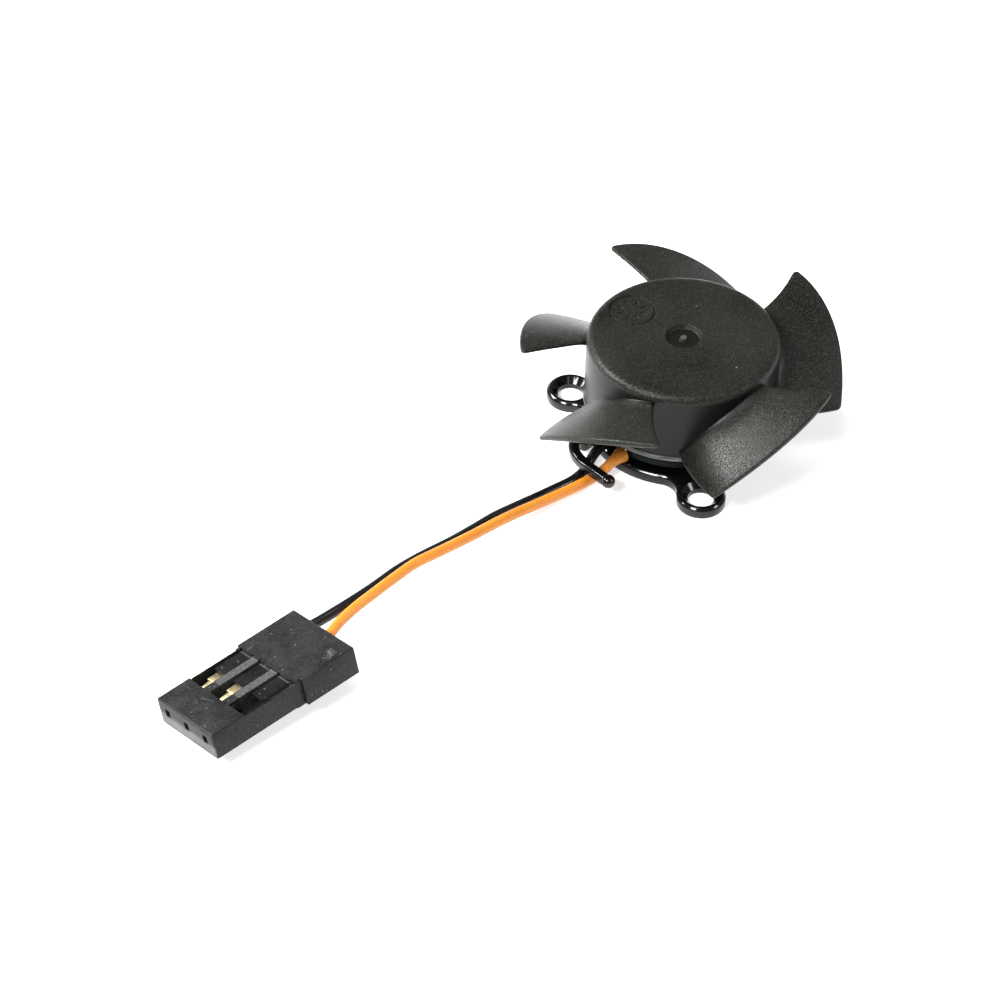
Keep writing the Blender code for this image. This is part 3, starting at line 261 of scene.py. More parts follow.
class Paint:
    # a material's node tree, with short calls to add and wire nodes
    def __init__(self, name):
        self.material = bpy.data.materials.new(name)
        self.material.use_nodes = True
        self.tree = self.material.node_tree
        self.shader = self.tree.nodes["Principled BSDF"]
        self.place = self.add("TexCoord").outputs["Object"]

    def add(self, kind, **settings):
        made = self.tree.nodes.new("ShaderNode" + kind)
        for key, value in settings.items():
            setattr(made, key, value)
        return made

    def put(self, socket, value):
        if isinstance(value, bpy.types.NodeSocket):
            self.tree.links.new(value, socket)
        else:
            socket.default_value = value

    def math(self, operation, a, b=0.0):
        made = self.add("Math", operation=operation)
        self.put(made.inputs[0], a)
        self.put(made.inputs[1], b)
        return made.outputs[0]

    def times(self, first, *others):
        for other in others:
            first = self.math("MULTIPLY", first, other)
        return first

    def ramp(self, value, low, high, start=0.0, end=1.0):
        # straight change from start to end while the value goes from low to high
        made = self.add("MapRange")
        self.put(made.inputs["Value"], value)
        self.put(made.inputs["From Min"], low)
        self.put(made.inputs["From Max"], high)
        self.put(made.inputs["To Min"], start)
        self.put(made.inputs["To Max"], end)
        return made.outputs["Result"]

    def rise(self, value, limits):
        # from nothing to one between two lengths in mm
        return self.ramp(value, limits[0] * mm, limits[1] * mm)

    def fall(self, value, limits):
        return self.ramp(value, limits[0] * mm, limits[1] * mm, 1.0, 0.0)

    def noise(self, size, detail=2.0, place=None):
        made = self.add("TexNoise")
        self.put(made.inputs["Vector"], place or self.place)
        self.put(made.inputs["Scale"], 1.0 / (size * mm))
        self.put(made.inputs["Detail"], detail)
        return made.outputs["Fac"]

    def cells(self, size):
        made = self.add("TexVoronoi")
        self.put(made.inputs["Vector"], self.place)
        self.put(made.inputs["Scale"], 1.0 / (size * mm))
        return made

    def mix(self, share, a, b):
        made = self.add("Mix", data_type="RGBA")
        self.put(made.inputs["Factor"], share)
        for socket, colour in ((made.inputs["A"], a), (made.inputs["B"], b)):
            self.put(socket, colour if isinstance(colour, bpy.types.NodeSocket) else (*colour, 1.0))
        return made.outputs["Result"]

    def stretched(self, scale, turn=(0.0, 0.0, 0.0)):
        made = self.add("Mapping")
        self.put(made.inputs["Vector"], self.place)
        self.put(made.inputs["Rotation"], [radians(a) for a in turn])
        self.put(made.inputs["Scale"], scale)
        return made.outputs["Vector"]

    def within(self, matrix):
        # Object coordinates carried into the frame of a piece that was placed by this matrix
        back = matrix.inverted()
        made = self.add("Mapping")
        self.put(made.inputs["Vector"], self.place)
        self.put(made.inputs["Rotation"], back.to_euler("XYZ"))
        self.put(made.inputs["Location"], back.to_translation())
        split = self.add("SeparateXYZ")
        self.put(split.inputs[0], made.outputs["Vector"])
        return split.outputs

    def between(self, value, low, high, soft):
        # one inside low to high, fading to nothing over the soft width, all in mm
        return self.times(self.rise(value, (low - soft, low)), self.fall(value, (high, high + soft)))

    def axes(self):
        split = self.add("SeparateXYZ")
        self.put(split.inputs[0], self.place)
        return split.outputs

    def radius(self):
        split = self.axes()
        flat = self.add("CombineXYZ")
        self.put(flat.inputs[0], split[0])
        self.put(flat.inputs[1], split[1])
        length = self.add("VectorMath", operation="LENGTH")
        self.put(length.inputs[0], flat.outputs[0])
        return length.outputs["Value"]

    def bump(self, height, depth):
        made = self.add("Bump")
        self.put(made.inputs["Height"], height)
        self.put(made.inputs["Distance"], depth * mm)
        made.inputs["Strength"].default_value = 1.0
        self.put(self.shader.inputs["Normal"], made.outputs["Normal"])

    def lay(self, colour, *shares):
        # another colour over the present one, as thick as the product of the shares
        self.colour = self.mix(self.times(*shares), self.colour, colour)
        self.put(self.shader.inputs["Base Color"], self.colour)


def plainFinish(key):
    # the common ground of every finish: slow cloud and fine grain in colour, roughness, bump
    own = looks[key]
    paint = Paint(key)
    paint.grain = paint.noise(own["grain"], 3.0)
    paint.cloud = paint.noise(own["cloud"], 2.0)
    both = paint.math("ADD", paint.times(paint.grain, 0.6), paint.times(paint.cloud, 0.4))
    paint.colour = own["dark"]
    paint.lay(own["light"], paint.ramp(both, 0.35, 0.65))
    paint.put(paint.shader.inputs["Roughness"], paint.ramp(paint.cloud, 0.3, 0.7, *own["rough"]))
    paint.shader.inputs["Metallic"].default_value = own["metal"]
    paint.shader.inputs["Specular IOR Level"].default_value = own["specular"]
    paint.bump(paint.grain, own["height"])
    return paint


finishes = {}


def finish(key):
    if key not in finishes:
        finishes[key] = (special[key] if key in special else plainFinish)(key).material
    return finishes[key]


def scuffs(paint, size, width):
    # fine wandering scratches: thin lines where a stretched noise crosses its middle
    long = paint.stretched((1.0, 0.22, 1.0), (0.0, 0.0, 28.0))
    wander = paint.noise(size, 1.0, long)
    line = paint.ramp(paint.math("ABSOLUTE", paint.math("SUBTRACT", wander, 0.5)), 0.0, width, 1.0, 0.0)
    patch = paint.ramp(paint.noise(size * 0.45, 1.0), 0.56, 0.66)
    return paint.times(line, patch)


def specks(paint, pitch, size, keep):
    # sparse pale specks: the hearts of some cells
    cell = paint.cells(pitch)
    dot = paint.ramp(cell.outputs["Distance"], size * 0.6, size, 1.0, 0.0)
    pick = paint.add("SeparateColor")
    paint.put(pick.inputs[0], cell.outputs["Color"])
    chosen = paint.math("LESS_THAN", pick.outputs[0], keep)
    return paint.times(dot, chosen)


nylon = {
    "wallRadius": (8.42, 8.65),         # the moulding is smoother on the hub's wall, within this radius, and painted shade darkens it
    "wallTop": (9.2, 9.5),              # and below this height
    "wallGrain": 0.16,                  # share of the grain left on the wall
    "wallShade": 0.9,                   # how strongly painted shade darkens the wall to one even dark tone
    "grit": 0.11,                       # size of one grain
    "crown": (0.12, 0.55),              # where a grain's top ends and its foot begins
    "brightest": (0.40, 1.0),           # which of the grains catch the light
    # painted glints: paler colour on the grain tops that catch the light
    "paintedGlint": (0.085, 0.086, 0.078), "paintedGlintShare": 0.6,
    # painted shade in the dimple; the nub in it is paler
    "dimpleRadius": (1.30, 1.42), "dimpleFloor": (9.5, 9.6), "dimpleShade": 0.8,
    "nubRadius": (0.22, 0.36), "nubPale": 0.28,
    "bandTop": (3.60, 3.70),            # streaked paler band round the open end
    "bandPale": (0.17, 0.17, 0.165),
    "streakSize": 0.5, "streakPull": (0.35, 0.35, 6.0), "streakShare": (0.36, 0.62, 0.15, 0.95),
    "dust": (0.20, 0.20, 0.19), "dustSpecks": (1.6, 0.05, 0.30),
}


def nylonFinish(key):
    paint = plainFinish(key)
    dark = looks[key]["dark"]
    r = paint.radius()
    z = paint.axes()[2]
    inWall = paint.fall(r, nylon["wallRadius"])
    wall = paint.times(inWall, paint.fall(z, nylon["wallTop"]))
    rest = paint.math("SUBTRACT", 1.0, wall)
    grit = paint.cells(nylon["grit"])
    crown = paint.ramp(grit.outputs["Distance"], *nylon["crown"], 1.0, 0.0)
    lot = paint.add("SeparateColor")
    paint.put(lot.inputs[0], grit.outputs["Color"])
    tops = paint.times(crown, paint.ramp(lot.outputs[0], *nylon["brightest"]), rest)
    # painted glints: the grain tops away from the wall are coloured paler, as if catching the light
    paint.lay(nylon["paintedGlint"], tops, nylon["paintedGlintShare"])
    # painted shade: the hub's side wall is darkened towards one even dark tone
    paint.lay(dark, wall, nylon["wallShade"])
    # painted shade in the dimple, and a paler nub
    dimple = paint.times(paint.fall(r, nylon["dimpleRadius"]), paint.rise(z, nylon["dimpleFloor"]))
    paint.lay(dark, dimple, nylon["dimpleShade"])
    paint.lay(nylon["dust"], dimple, paint.fall(r, nylon["nubRadius"]), nylon["nubPale"])
    band = paint.times(inWall, paint.fall(z, nylon["bandTop"]))
    streak = paint.noise(nylon["streakSize"], 3.0, paint.stretched(nylon["streakPull"]))
    paint.lay(nylon["bandPale"], band, paint.ramp(streak, *nylon["streakShare"]))
    paint.lay(nylon["dust"], specks(paint, *nylon["dustSpecks"]), rest)
    height = paint.math("ADD", paint.times(paint.grain, 0.45), paint.times(crown, 0.55))
    share = paint.math("ADD", rest, paint.times(wall, nylon["wallGrain"]))
    paint.bump(paint.times(height, share), looks[key]["height"])
    return paint


def anodisedFinish(key):
    paint = plainFinish(key)
    paint.lay((0.05, 0.05, 0.05), specks(paint, 1.1, 0.04, 0.25))
    return paint


marks = {
    # in the plug's own frame: x from the front face, y across, z up
    # painted shade darkens the inside of the windows
    "windowEnd": 8.05, "windowTone": 0.70, "windowShade": (0.001, 0.001, 0.001),
    "rib": (0.080, 0.081, 0.080),         # painted highlight on the tops of the walls between the windows
    "ribRun": (4.3, 8.0), "ribHalf": 0.36, "ribPatches": (0.3, 0.6, 0.35, 0.9),
    "step": (8.02, 8.10), "stepHalf": 3.5, "stepPale": 0.6,      # paler line where the rear begins
    "pale": (0.115, 0.116, 0.113), "paleShare": 0.75,     # scuffs, and painted floor reflection on the lower half of the front face
    "frontFace": (0.02, 0.1), "frontBand": (0.35, 1.0), "frontSoft": 0.35,
    "scuff": (11.75, 12.75, -3.45, -2.65), "scuffGrain": 0.16, "scuffSoft": 0.15,
    "scratch": (3.2, 0.004), "scratchShare": 0.45,
    "dots": (0.42, 0.24, 0.30), "crowd": 1.9,             # dust, and how wide its crowds are
}


def plugFinish(key):
    paint = plainFinish(key)
    x, y, z = paint.within(plugMatrix())
    half = plug["channelWidth"] / 2 - plug["slot"] * 0.6
    inside, ribs = 0.0, 0.0
    for way in (plug["pitch"], 0.0, -plug["pitch"]):
        inside = paint.math("MAXIMUM", inside, paint.between(y, way - half, way + half, 0.06))
    for middle in (-plug["pitch"] / 2, plug["pitch"] / 2):
        low, high = middle - marks["ribHalf"], middle + marks["ribHalf"]
        ribs = paint.math("MAXIMUM", ribs, paint.between(y, low, high, 0.08))
    windows = paint.between(x, plug["windowStart"], marks["windowEnd"], 0.05)
    # painted shade: the window floors and tongues are darkened
    paint.lay(marks["windowShade"], windows, inside, marks["windowTone"])
    # painted highlight on the rib tops, made patchy by the grain
    ribHighlight = paint.times(paint.between(x, *marks["ribRun"], 0.1), paint.ramp(paint.grain, *marks["ribPatches"]))
    paint.lay(marks["rib"], ribHighlight, ribs)
    across = paint.between(y, -marks["stepHalf"], marks["stepHalf"], 0.05)
    paint.lay(marks["rib"], paint.between(x, *marks["step"], 0.05), across, marks["stepPale"])
    # painted reflection of the floor: the lower band of the front face is made paler
    band = paint.between(z, *marks["frontBand"], marks["frontSoft"])
    paint.lay(marks["pale"], paint.fall(x, marks["frontFace"]), band, marks["paleShare"])
    # a scuffed triangle by the rear edge, thin scratches and crowds of dust
    x0, x1, y0, y1 = marks["scuff"]
    soft = marks["scuffSoft"]
    slant = paint.math("SUBTRACT", paint.math("SUBTRACT", y, y0 * mm), paint.math("SUBTRACT", x, x0 * mm))
    patch = paint.times(paint.between(x, x0, x1, soft), paint.between(y, y0, y1, soft),
                        paint.fall(slant, (-0.1, 0.1)),
                        paint.ramp(paint.noise(marks["scuffGrain"], 3.0), 0.44, 0.52))
    scratch = paint.times(scuffs(paint, *marks["scratch"]), marks["scratchShare"])
    crowd = paint.ramp(paint.noise(marks["crowd"], 1.0), 0.48, 0.58)
    dots = paint.times(specks(paint, *marks["dots"]), crowd)
    pale = paint.math("MAXIMUM", paint.math("MAXIMUM", scratch, dots), patch)
    paint.lay(marks["pale"], pale, marks["paleShare"])
    return paint


def laminationFinish(key):
    # thin sheets, with one dark line for each
    paint = plainFinish(key)
    layer = paint.math("FRACT", paint.math("DIVIDE", paint.axes()[2], looks[key]["sheet"] * mm))
    line = paint.ramp(paint.math("ABSOLUTE", paint.math("SUBTRACT", layer, 0.5)), 0.36, 0.5)
    paint.lay((0.06, 0.06, 0.062), line)
    paint.bump(paint.times(line, -1.0), 0.02)
    return paint


def windingFinish(key):
    # turns of wire, counted outward from the axis
    paint = plainFinish(key)
    turn = paint.math("FRACT", paint.math("DIVIDE", paint.radius(), looks[key]["wire"] * mm))
    crown = paint.math("SINE", paint.times(turn, pi))
    # painted shade in the creases between the turns
    paint.lay(looks[key]["dark"], paint.math("SUBTRACT", 1.0, crown))
    paint.bump(crown, 0.05)
    return paint


def turnedFinish(key):
    # lathe lines on a turned metal piece
    paint = plainFinish(key)
    lines = paint.noise(0.4, 2.0, paint.stretched((0.02, 0.02, 10.0)))
    paint.put(paint.shader.inputs["Roughness"], paint.ramp(lines, 0.3, 0.7, *looks[key]["rough"]))
    paint.bump(lines, 0.0015)
    return paint


def foilFinish(key):
    # brushed foil with a plain darker border ring
    paint = plainFinish(key)
    brushed = paint.noise(0.5, 2.0, paint.stretched((0.08, 9.0, 1.0)))
    ring = paint.between(paint.radius(), *label["ring"], label["ringSoft"])
    paint.colour = looks[key]["dark"]
    paint.lay(looks[key]["light"], paint.ramp(brushed, 0.3, 0.7))
    paint.lay(label["ringColour"], ring)
    paint.bump(brushed, 0.0008)
    return paint


special = {"nylon": nylonFinish, "anodised": anodisedFinish, "plugPlastic": plugFinish,
           "lamination": laminationFinish, "copper": windingFinish, "brass": turnedFinish,
           "foil": foilFinish}


impeller = {
    "hubRadius": 8.3, "hubBottom": 3.11, "hubTop": 10.08, "edgeRound": 0.85,
    "wall": 0.8, "ceiling": 8.88,
    "lipTop": 3.66, "lipStep": 0.06,
    "dimpleRadius": 1.56, "dimpleDepth": 0.36, "nubRadius": 0.42, "nubHeight": 0.26,
    "bossRadius": 1.6, "bossBottom": 8.05, "socketRadius": 0.78, "socketTop": 9.45,
    "stampPlace": (5.44, 133.1), "stampRadius": 1.92, "stampGroove": 0.17, "stampDepth": 0.13,
    "stampTicks": 8, "tickReach": (0.75, 1.4), "tickWidth": 0.26,
    "blades": 5, "firstAngle": -46.6, "tipRadius": 13.92,
    "rootSpan": 56.4, "tipSpan": 53.5, "sweep": 9.9,
    "rootHeights": (4.02, 9.30), "tipHeights": (4.00, 9.90),
    "rootCamber": 0.72, "tipCamber": 0.83,
    "thickness": 0.6, "edgeThickness": 0.36, "edgeRounding": 0.2,
    "highCorner": 0.6, "lowCorner": 0.3,                    # rounding of the tip's two corners
    "flare": 0.22, "flareReach": 0.22, "flareStart": 0.3,   # where a blade meets the hub
    "embed": 0.5, "columns": 26, "rows": 52,
}


def hubShape():
    i = impeller
    floor = i["hubTop"] - i["dimpleDepth"]
    r, top, bottom = i["hubRadius"], i["hubTop"], i["hubBottom"]
    inner = r - i["wall"]
    lip = r + i["lipStep"]
    line = [(0.0, floor + i["nubHeight"]), (i["nubRadius"] * 0.62, floor + i["nubHeight"], 0.07),
            (i["nubRadius"], floor, 0.08), (i["dimpleRadius"] - 0.2, floor, 0.16),
            (i["dimpleRadius"], top, 0.10), (r, top, i["edgeRound"]),
            (r, i["lipTop"] + i["lipStep"], 0.03), (lip, i["lipTop"], 0.05), (lip, bottom, 0.12),
            (inner, bottom, 0.1), (inner, i["ceiling"], 0.25), (i["bossRadius"], i["ceiling"], 0.2),
            (i["bossRadius"], i["bossBottom"], 0.12), (i["socketRadius"], i["bossBottom"], 0.06),
            (i["socketRadius"], i["socketTop"], 0.05), (0.0, i["socketTop"])]
    return spun(roundedLine(line, segments=7), 160)


def bladeShape(index):
    # a sheet over (out, rise), bent to the blade's upper face, doubled, and merged along its rim
    i = impeller
    root = i["hubRadius"] - i["embed"]
    reach = i["tipRadius"] - root
    chord = radians(i["tipSpan"]) * i["tipRadius"]
    shape = bmesh.new()
    bmesh.ops.create_grid(shape, x_segments=i["columns"], y_segments=i["rows"], size=0.5)
    spots = {}
    for vert in shape.verts:
        # lines crowd towards the free edges, so that these can be rounded
        out = sin((vert.co.x + 0.5) * pi / 2)
        rise = 0.5 - 0.5 * cos((vert.co.y + 0.5) * pi)
        toTip, toHigh, toLow = (1 - out) * reach, (1 - rise) * chord, rise * chord
        for corner, side in ((i["highCorner"], 1), (i["lowCorner"], -1)):
            toSide = toHigh if side > 0 else toLow
            if toTip < corner and toSide < corner:
                u, v = 1 - toTip / corner, 1 - toSide / corner
                u, v = u * sqrt(1 - v * v / 2), v * sqrt(1 - u * u / 2)
                toTip = (1 - u) * corner
                out = 1 - toTip / reach
                rise = 1 - (1 - v) * corner / chord if side > 0 else (1 - v) * corner / chord
        spots[vert.index] = (out, rise)
    shape.verts.ensure_lookup_table()
    rim = {v.index for v in shape.verts if v.is_boundary}
    for vert in shape.verts:
        out, rise = spots[vert.index]
        radius = root + reach * out
        share = (radius - i["hubRadius"]) / (i["tipRadius"] - i["hubRadius"])
        span = partWay(i["rootSpan"], i["tipSpan"], share)
        high = i["firstAngle"] + index * 360.0 / i["blades"] + i["sweep"] * share
        camber = partWay(i["rootCamber"], i["tipCamber"], share)
        low = partWay(i["rootHeights"][0], i["tipHeights"][0], share)
        top = partWay(i["rootHeights"][1], i["tipHeights"][1], share ** 2)
        x, y = polar(radius, high - span * (1 - rise))
        z = low + (top - low) * (rise + camber * rise * (1 - rise))
        vert.co = (x * mm, y * mm, z * mm)
    bmesh.ops.recalc_face_normals(shape, faces=shape.faces)
    middle = shape.faces[len(shape.faces) // 2]
    if middle.normal.z < 0:
        bmesh.ops.reverse_faces(shape, faces=shape.faces)
    shape.normal_update()
    upper = shape.verts[:]
    places = {v.index: v.co.copy() for v in upper}
    normals = {v.index: v.normal.copy() for v in upper}
    rimPlaces = [places[k] for k in rim]
    halves = {}
    for vert in upper:
        out, rise = spots[vert.index]
        radius = root + reach * out
        middleShare = 1 - abs(2 * rise - 1) ** 3
        full = partWay(i["edgeThickness"], i["thickness"], middleShare)
        gap = min((vert.co - p).length for p in rimPlaces) / mm
        near = min(1.0, gap / i["edgeRounding"])
        full *= sqrt(1 - (1 - near) ** 2)
        if radius > i["hubRadius"] - i["flareStart"]:
            full += 2 * i["flare"] * exp(-max(0.0, radius - i["hubRadius"]) / i["flareReach"]) * near
        halves[vert.index] = full / 2
    copied = bmesh.ops.duplicate(shape, geom=shape.verts[:] + shape.edges[:] + shape.faces[:])
    lower = [g for g in copied["geom"] if isinstance(g, bmesh.types.BMVert)]
    bmesh.ops.reverse_faces(shape, faces=[g for g in copied["geom"] if isinstance(g, bmesh.types.BMFace)])
    for high, deep in zip(upper, lower):
        k = high.index
        centre = places[k] - normals[k] * i["thickness"] / 2 * mm
        high.co = centre + normals[k] * halves[k] * mm
        deep.co = centre - normals[k] * halves[k] * mm
    bmesh.ops.remove_doubles(shape, verts=shape.verts, dist=1e-6)
    return shape


def makeImpeller():
    i = impeller
    blades = [bladeShape(k) for k in range(i["blades"])]
    shape = combined(hubShape(), blades, "UNION")
    groove, r = i["stampGroove"], i["stampRadius"]
    line = [(r - groove, i["hubTop"] + 0.1), (r + groove, i["hubTop"] + 0.1),
            (r + groove * 0.4, i["hubTop"] - i["stampDepth"], 0.04),
            (r - groove * 0.4, i["hubTop"] - i["stampDepth"], 0.04)]
    stamp = spun(roundedLine(line, closed=True, segments=3), 64, closed=True)
    x, y = polar(*i["stampPlace"])
    cutters = [moved(stamp, x, y)]
    near, far = i["tickReach"]
    for k in range(i["stampTicks"]):
        # plain ticks of a mould's date insert
        tick = block((near, -i["tickWidth"] / 2, i["hubTop"] - i["stampDepth"] * 0.7),
                     (far, i["tickWidth"] / 2, i["hubTop"] + 0.1), 0.03, 1)
        turn = Matrix.Rotation(tau * (k + 0.3) / i["stampTicks"], 4, "Z")
        bmesh.ops.transform(tick, matrix=turn, verts=tick.verts)
        cutters.append(moved(tick, x, y))
    shape = combined(shape, cutters, "DIFFERENCE")
    piece("impellerMoulding", shape, finish("nylon"), "rotor", ["impeller"], 48.0)
    print("impeller made")


plate = {
    "radius": 7.95, "thickness": 1.0, "chamfer": 0.24, "soften": 0.035, "underEdge": 0.06,
    "ears": 3, "earCircle": 10.0, "earRadius": 2.1, "earFillet": 1.6, "firstEar": -90.0,
    "holeRadius": 1.12, "sinkDepth": 0.5, "bore": 2.63, "labelRecess": (3.43, 0.17),
    "hookWidth": 0.92, "hookLow": 1.2, "hookHigh": 2.1, "hookEdge": 0.2, "hookSoften": 0.05, "knob": 0.6,
    "postWidth": 0.84, "postLow": 0.3, "postEdge": 0.15, "footWidth": 1.0, "footEdge": 0.15,
    # the hook's middle line: distance outside the round edge, and angle
    "hookLine": [(0.60, 191.2), (1.66, 193.4), (2.36, 197.8), (2.82, 204.2),
                 (2.96, 211.6), (3.02, 219.8), (3.24, 226.59)],
    "postLine": [(-0.31, 188.2), (0.29, 189.9), (0.85, 191.6)],
    "footStart": (-0.90, 186.92),
}


def swing(shape, vert, centre, sweep, steps):
    # carry a vertex round a centre, leaving an arc of edges, and return its last vertex
    done = bmesh.ops.spin(shape, geom=[vert], cent=(centre[0] * mm, centre[1] * mm, 0.0), axis=(0, 0, 1),
                          angle=radians(sweep), steps=steps, use_duplicate=False)
    return [g for g in done["geom_last"] if isinstance(g, bmesh.types.BMVert)][0]


def cornerAngle(one, other, opposite):
    # the angle between two sides of a triangle whose three sides are known
    return degrees(acos((one ** 2 + other ** 2 - opposite ** 2) / (2 * one * other)))


def plateShape():
    p = plate
    sideA = p["radius"] + p["earFillet"]
    sideB = p["earRadius"] + p["earFillet"]
    reach = p["earCircle"]
    # the centres of the ring, an ear and the fillet between them make a triangle
    atRing = cornerAngle(sideA, reach, sideB)
    atEar = cornerAngle(sideB, reach, sideA)
    filletTurn = 180.0 - atRing - atEar
    pitch = 360.0 / p["ears"]
    shape = bmesh.new()
    start = p["firstEar"] - pitch + atRing
    x, y = polar(p["radius"], start)
    vert = shape.verts.new((x * mm, y * mm, 0.0))
    for k in range(p["ears"]):
        ear = p["firstEar"] + k * pitch
        vert = swing(shape, vert, (0.0, 0.0), pitch - 2 * atRing, 40)
        vert = swing(shape, vert, polar(sideA, ear - atRing), -filletTurn, 14)
        vert = swing(shape, vert, polar(reach, ear), 360.0 - 2 * atEar, 44)
        vert = swing(shape, vert, polar(sideA, ear + atRing), -filletTurn, 14)
    bmesh.ops.remove_doubles(shape, verts=shape.verts, dist=1e-6)
    bmesh.ops.contextual_create(shape, geom=shape.edges[:])
    return raised(shape, 0.0, p["thickness"], p["chamfer"], p["soften"], p["underEdge"])


def raised(shape, bottom, top, chamfer, soften, underEdge):
    # a flat outline becomes a plate: chamfered and softened above, slightly rounded below
    bmesh.ops.translate(shape, vec=(0, 0, bottom * mm), verts=shape.verts)
    grown = bmesh.ops.extrude_face_region(shape, geom=shape.faces[:])
    upper = [g for g in grown["geom"] if isinstance(g, bmesh.types.BMVert)]
    bmesh.ops.translate(shape, vec=(0, 0, (top - bottom) * mm), verts=upper)
    bmesh.ops.recalc_face_normals(shape, faces=shape.faces)

    def rim(level):
        return [e for e in shape.edges if all(abs(v.co.z - level * mm) < 1e-7 for v in e.verts)]
    bevelled(shape, rim(bottom), underEdge, 2)
    bevelled(shape, rim(top), chamfer, 1)
    if soften:
        bevelled(shape, rim(top) + rim(top - chamfer), soften, 2)
    return shape


def stripShape(line, width, bottom, top, chamfer, soften):
    # a strip along a line given as (distance outside the ring, angle), with a round far end
    spine = curveLine([(*polar(plate["radius"] + out, angle), 0.0) for out, angle in line], 0.22)
    shape = bmesh.new()
    left, right = [], []
    for i, point in enumerate(spine):
        along = (spine[min(i + 1, len(spine) - 1)] - spine[max(i - 1, 0)]).normalized()
        side = Vector((-along.y, along.x, 0.0)) * width / 2
        left.append(shape.verts.new((point + side) * mm))
        right.append(shape.verts.new((point - side) * mm))
    for run in (left, right):
        for pair in zip(run, run[1:]):
            shape.edges.new(pair)
    shape.edges.new((left[0], right[0]))
    swing(shape, right[-1], spine[-1], 180.0, 12)
    bmesh.ops.remove_doubles(shape, verts=shape.verts, dist=1e-6)
    bmesh.ops.contextual_create(shape, geom=shape.edges[:])
    return raised(shape, bottom, top, chamfer, soften, chamfer * 0.8)


def makePlate():
    p = plate
    top = p["thickness"]
    hookEnd = polar(p["radius"] + p["hookLine"][-1][0], p["hookLine"][-1][1])
    soften = p["hookSoften"]
    arm = stripShape(p["hookLine"], p["hookWidth"], p["hookLow"], p["hookHigh"], p["hookEdge"], soften)
    postTop = p["hookHigh"] - 0.02
    post = stripShape(p["postLine"], p["postWidth"], p["postLow"], postTop, p["postEdge"], soften)
    footLine = [p["footStart"]] + p["postLine"]
    foot = stripShape(footLine, p["footWidth"], 0.0, top - 0.05, p["footEdge"], 0.0)
    knob = ball((*hookEnd, (p["hookLow"] + p["hookHigh"]) / 2), p["knob"])
    shape = combined(plateShape(), [foot, post, arm, knob], "UNION")
    past = 0.5      # how far the cutters stand out of the plate
    cutters = [spun([(0.0, top + past), (p["bore"], top + past), (p["bore"], -past), (0.0, -past)])]
    recess, depth = p["labelRecess"]
    cutters.append(spun([(0.0, depth), (recess, depth), (recess, -past), (0.0, -past)]))
    # a countersunk hole, with its mouth and its lower end slightly rounded
    r, sink = p["holeRadius"], p["sinkDepth"]
    mouth = r + sink
    line = [(0.0, top + past), (mouth + 0.6, top + past), (mouth + 0.05, top + 0.012, 0.05),
            (mouth, top - 0.02, 0.03), (r, top - sink, 0.06), (r, 0.05, 0.02),
            (r + 0.1, -0.05), (0.0, -0.05)]
    for k in range(p["ears"]):
        x, y = polar(p["earCircle"], p["firstEar"] + k * 360.0 / p["ears"])
        cutters.append(moved(spun(roundedLine(line), 64), x, y))
    shape = combined(shape, cutters, "DIFFERENCE")
    piece("anodisedPlate", shape, finish("anodised"), "base", ["base_plate"], 32.0)
    print("base plate made")


label = {
    "radius": 3.4, "thickness": 0.12, "edges": (0.03, 0.05),
    "ring": (2.97, 3.08), "ringSoft": 0.02, "ringColour": (0.06, 0.06, 0.065),
}


def makeLabel():
    r, top = label["radius"], label["thickness"]
    line = [(0.0, top), (r, top, label["edges"][0]), (r, 0.0, label["edges"][1]), (0.0, 0.0)]
    shape = spun(roundedLine(line), 96)
    piece("foilLabel", shape, finish("foil"), "base", ["underside_label"])
    print("label made")


board = {"bore": 3.0, "radius": 7.35, "low": 1.53, "high": 2.13, "edge": 0.06}


def makeBoard():
    b = board
    line = [(b["bore"], b["high"]), (b["radius"], b["high"], b["edge"]),
            (b["radius"], b["low"], b["edge"]), (b["bore"], b["low"])]
    shape = spun(roundedLine(line), 128, closed=True)
    piece("solderMaskBoard", shape, finish("laminate"), "base", ["driver_board"])
    print("board made")


solder = {
    "length": 1.1, "width": 0.9, "height": 0.42, "pad": 2.16, "setback": 0.25,
    "skirt": 0.55,                         # a flatter skirt wets the pad, under a higher crown
    "core": 0.26, "coreInWire": 0.4,       # radius of the bared, tinned strands, and their start
    "coreBend": (0.28, 2.22), "coreEnd": 0.2,      # they turn level here, and end in the solder
}


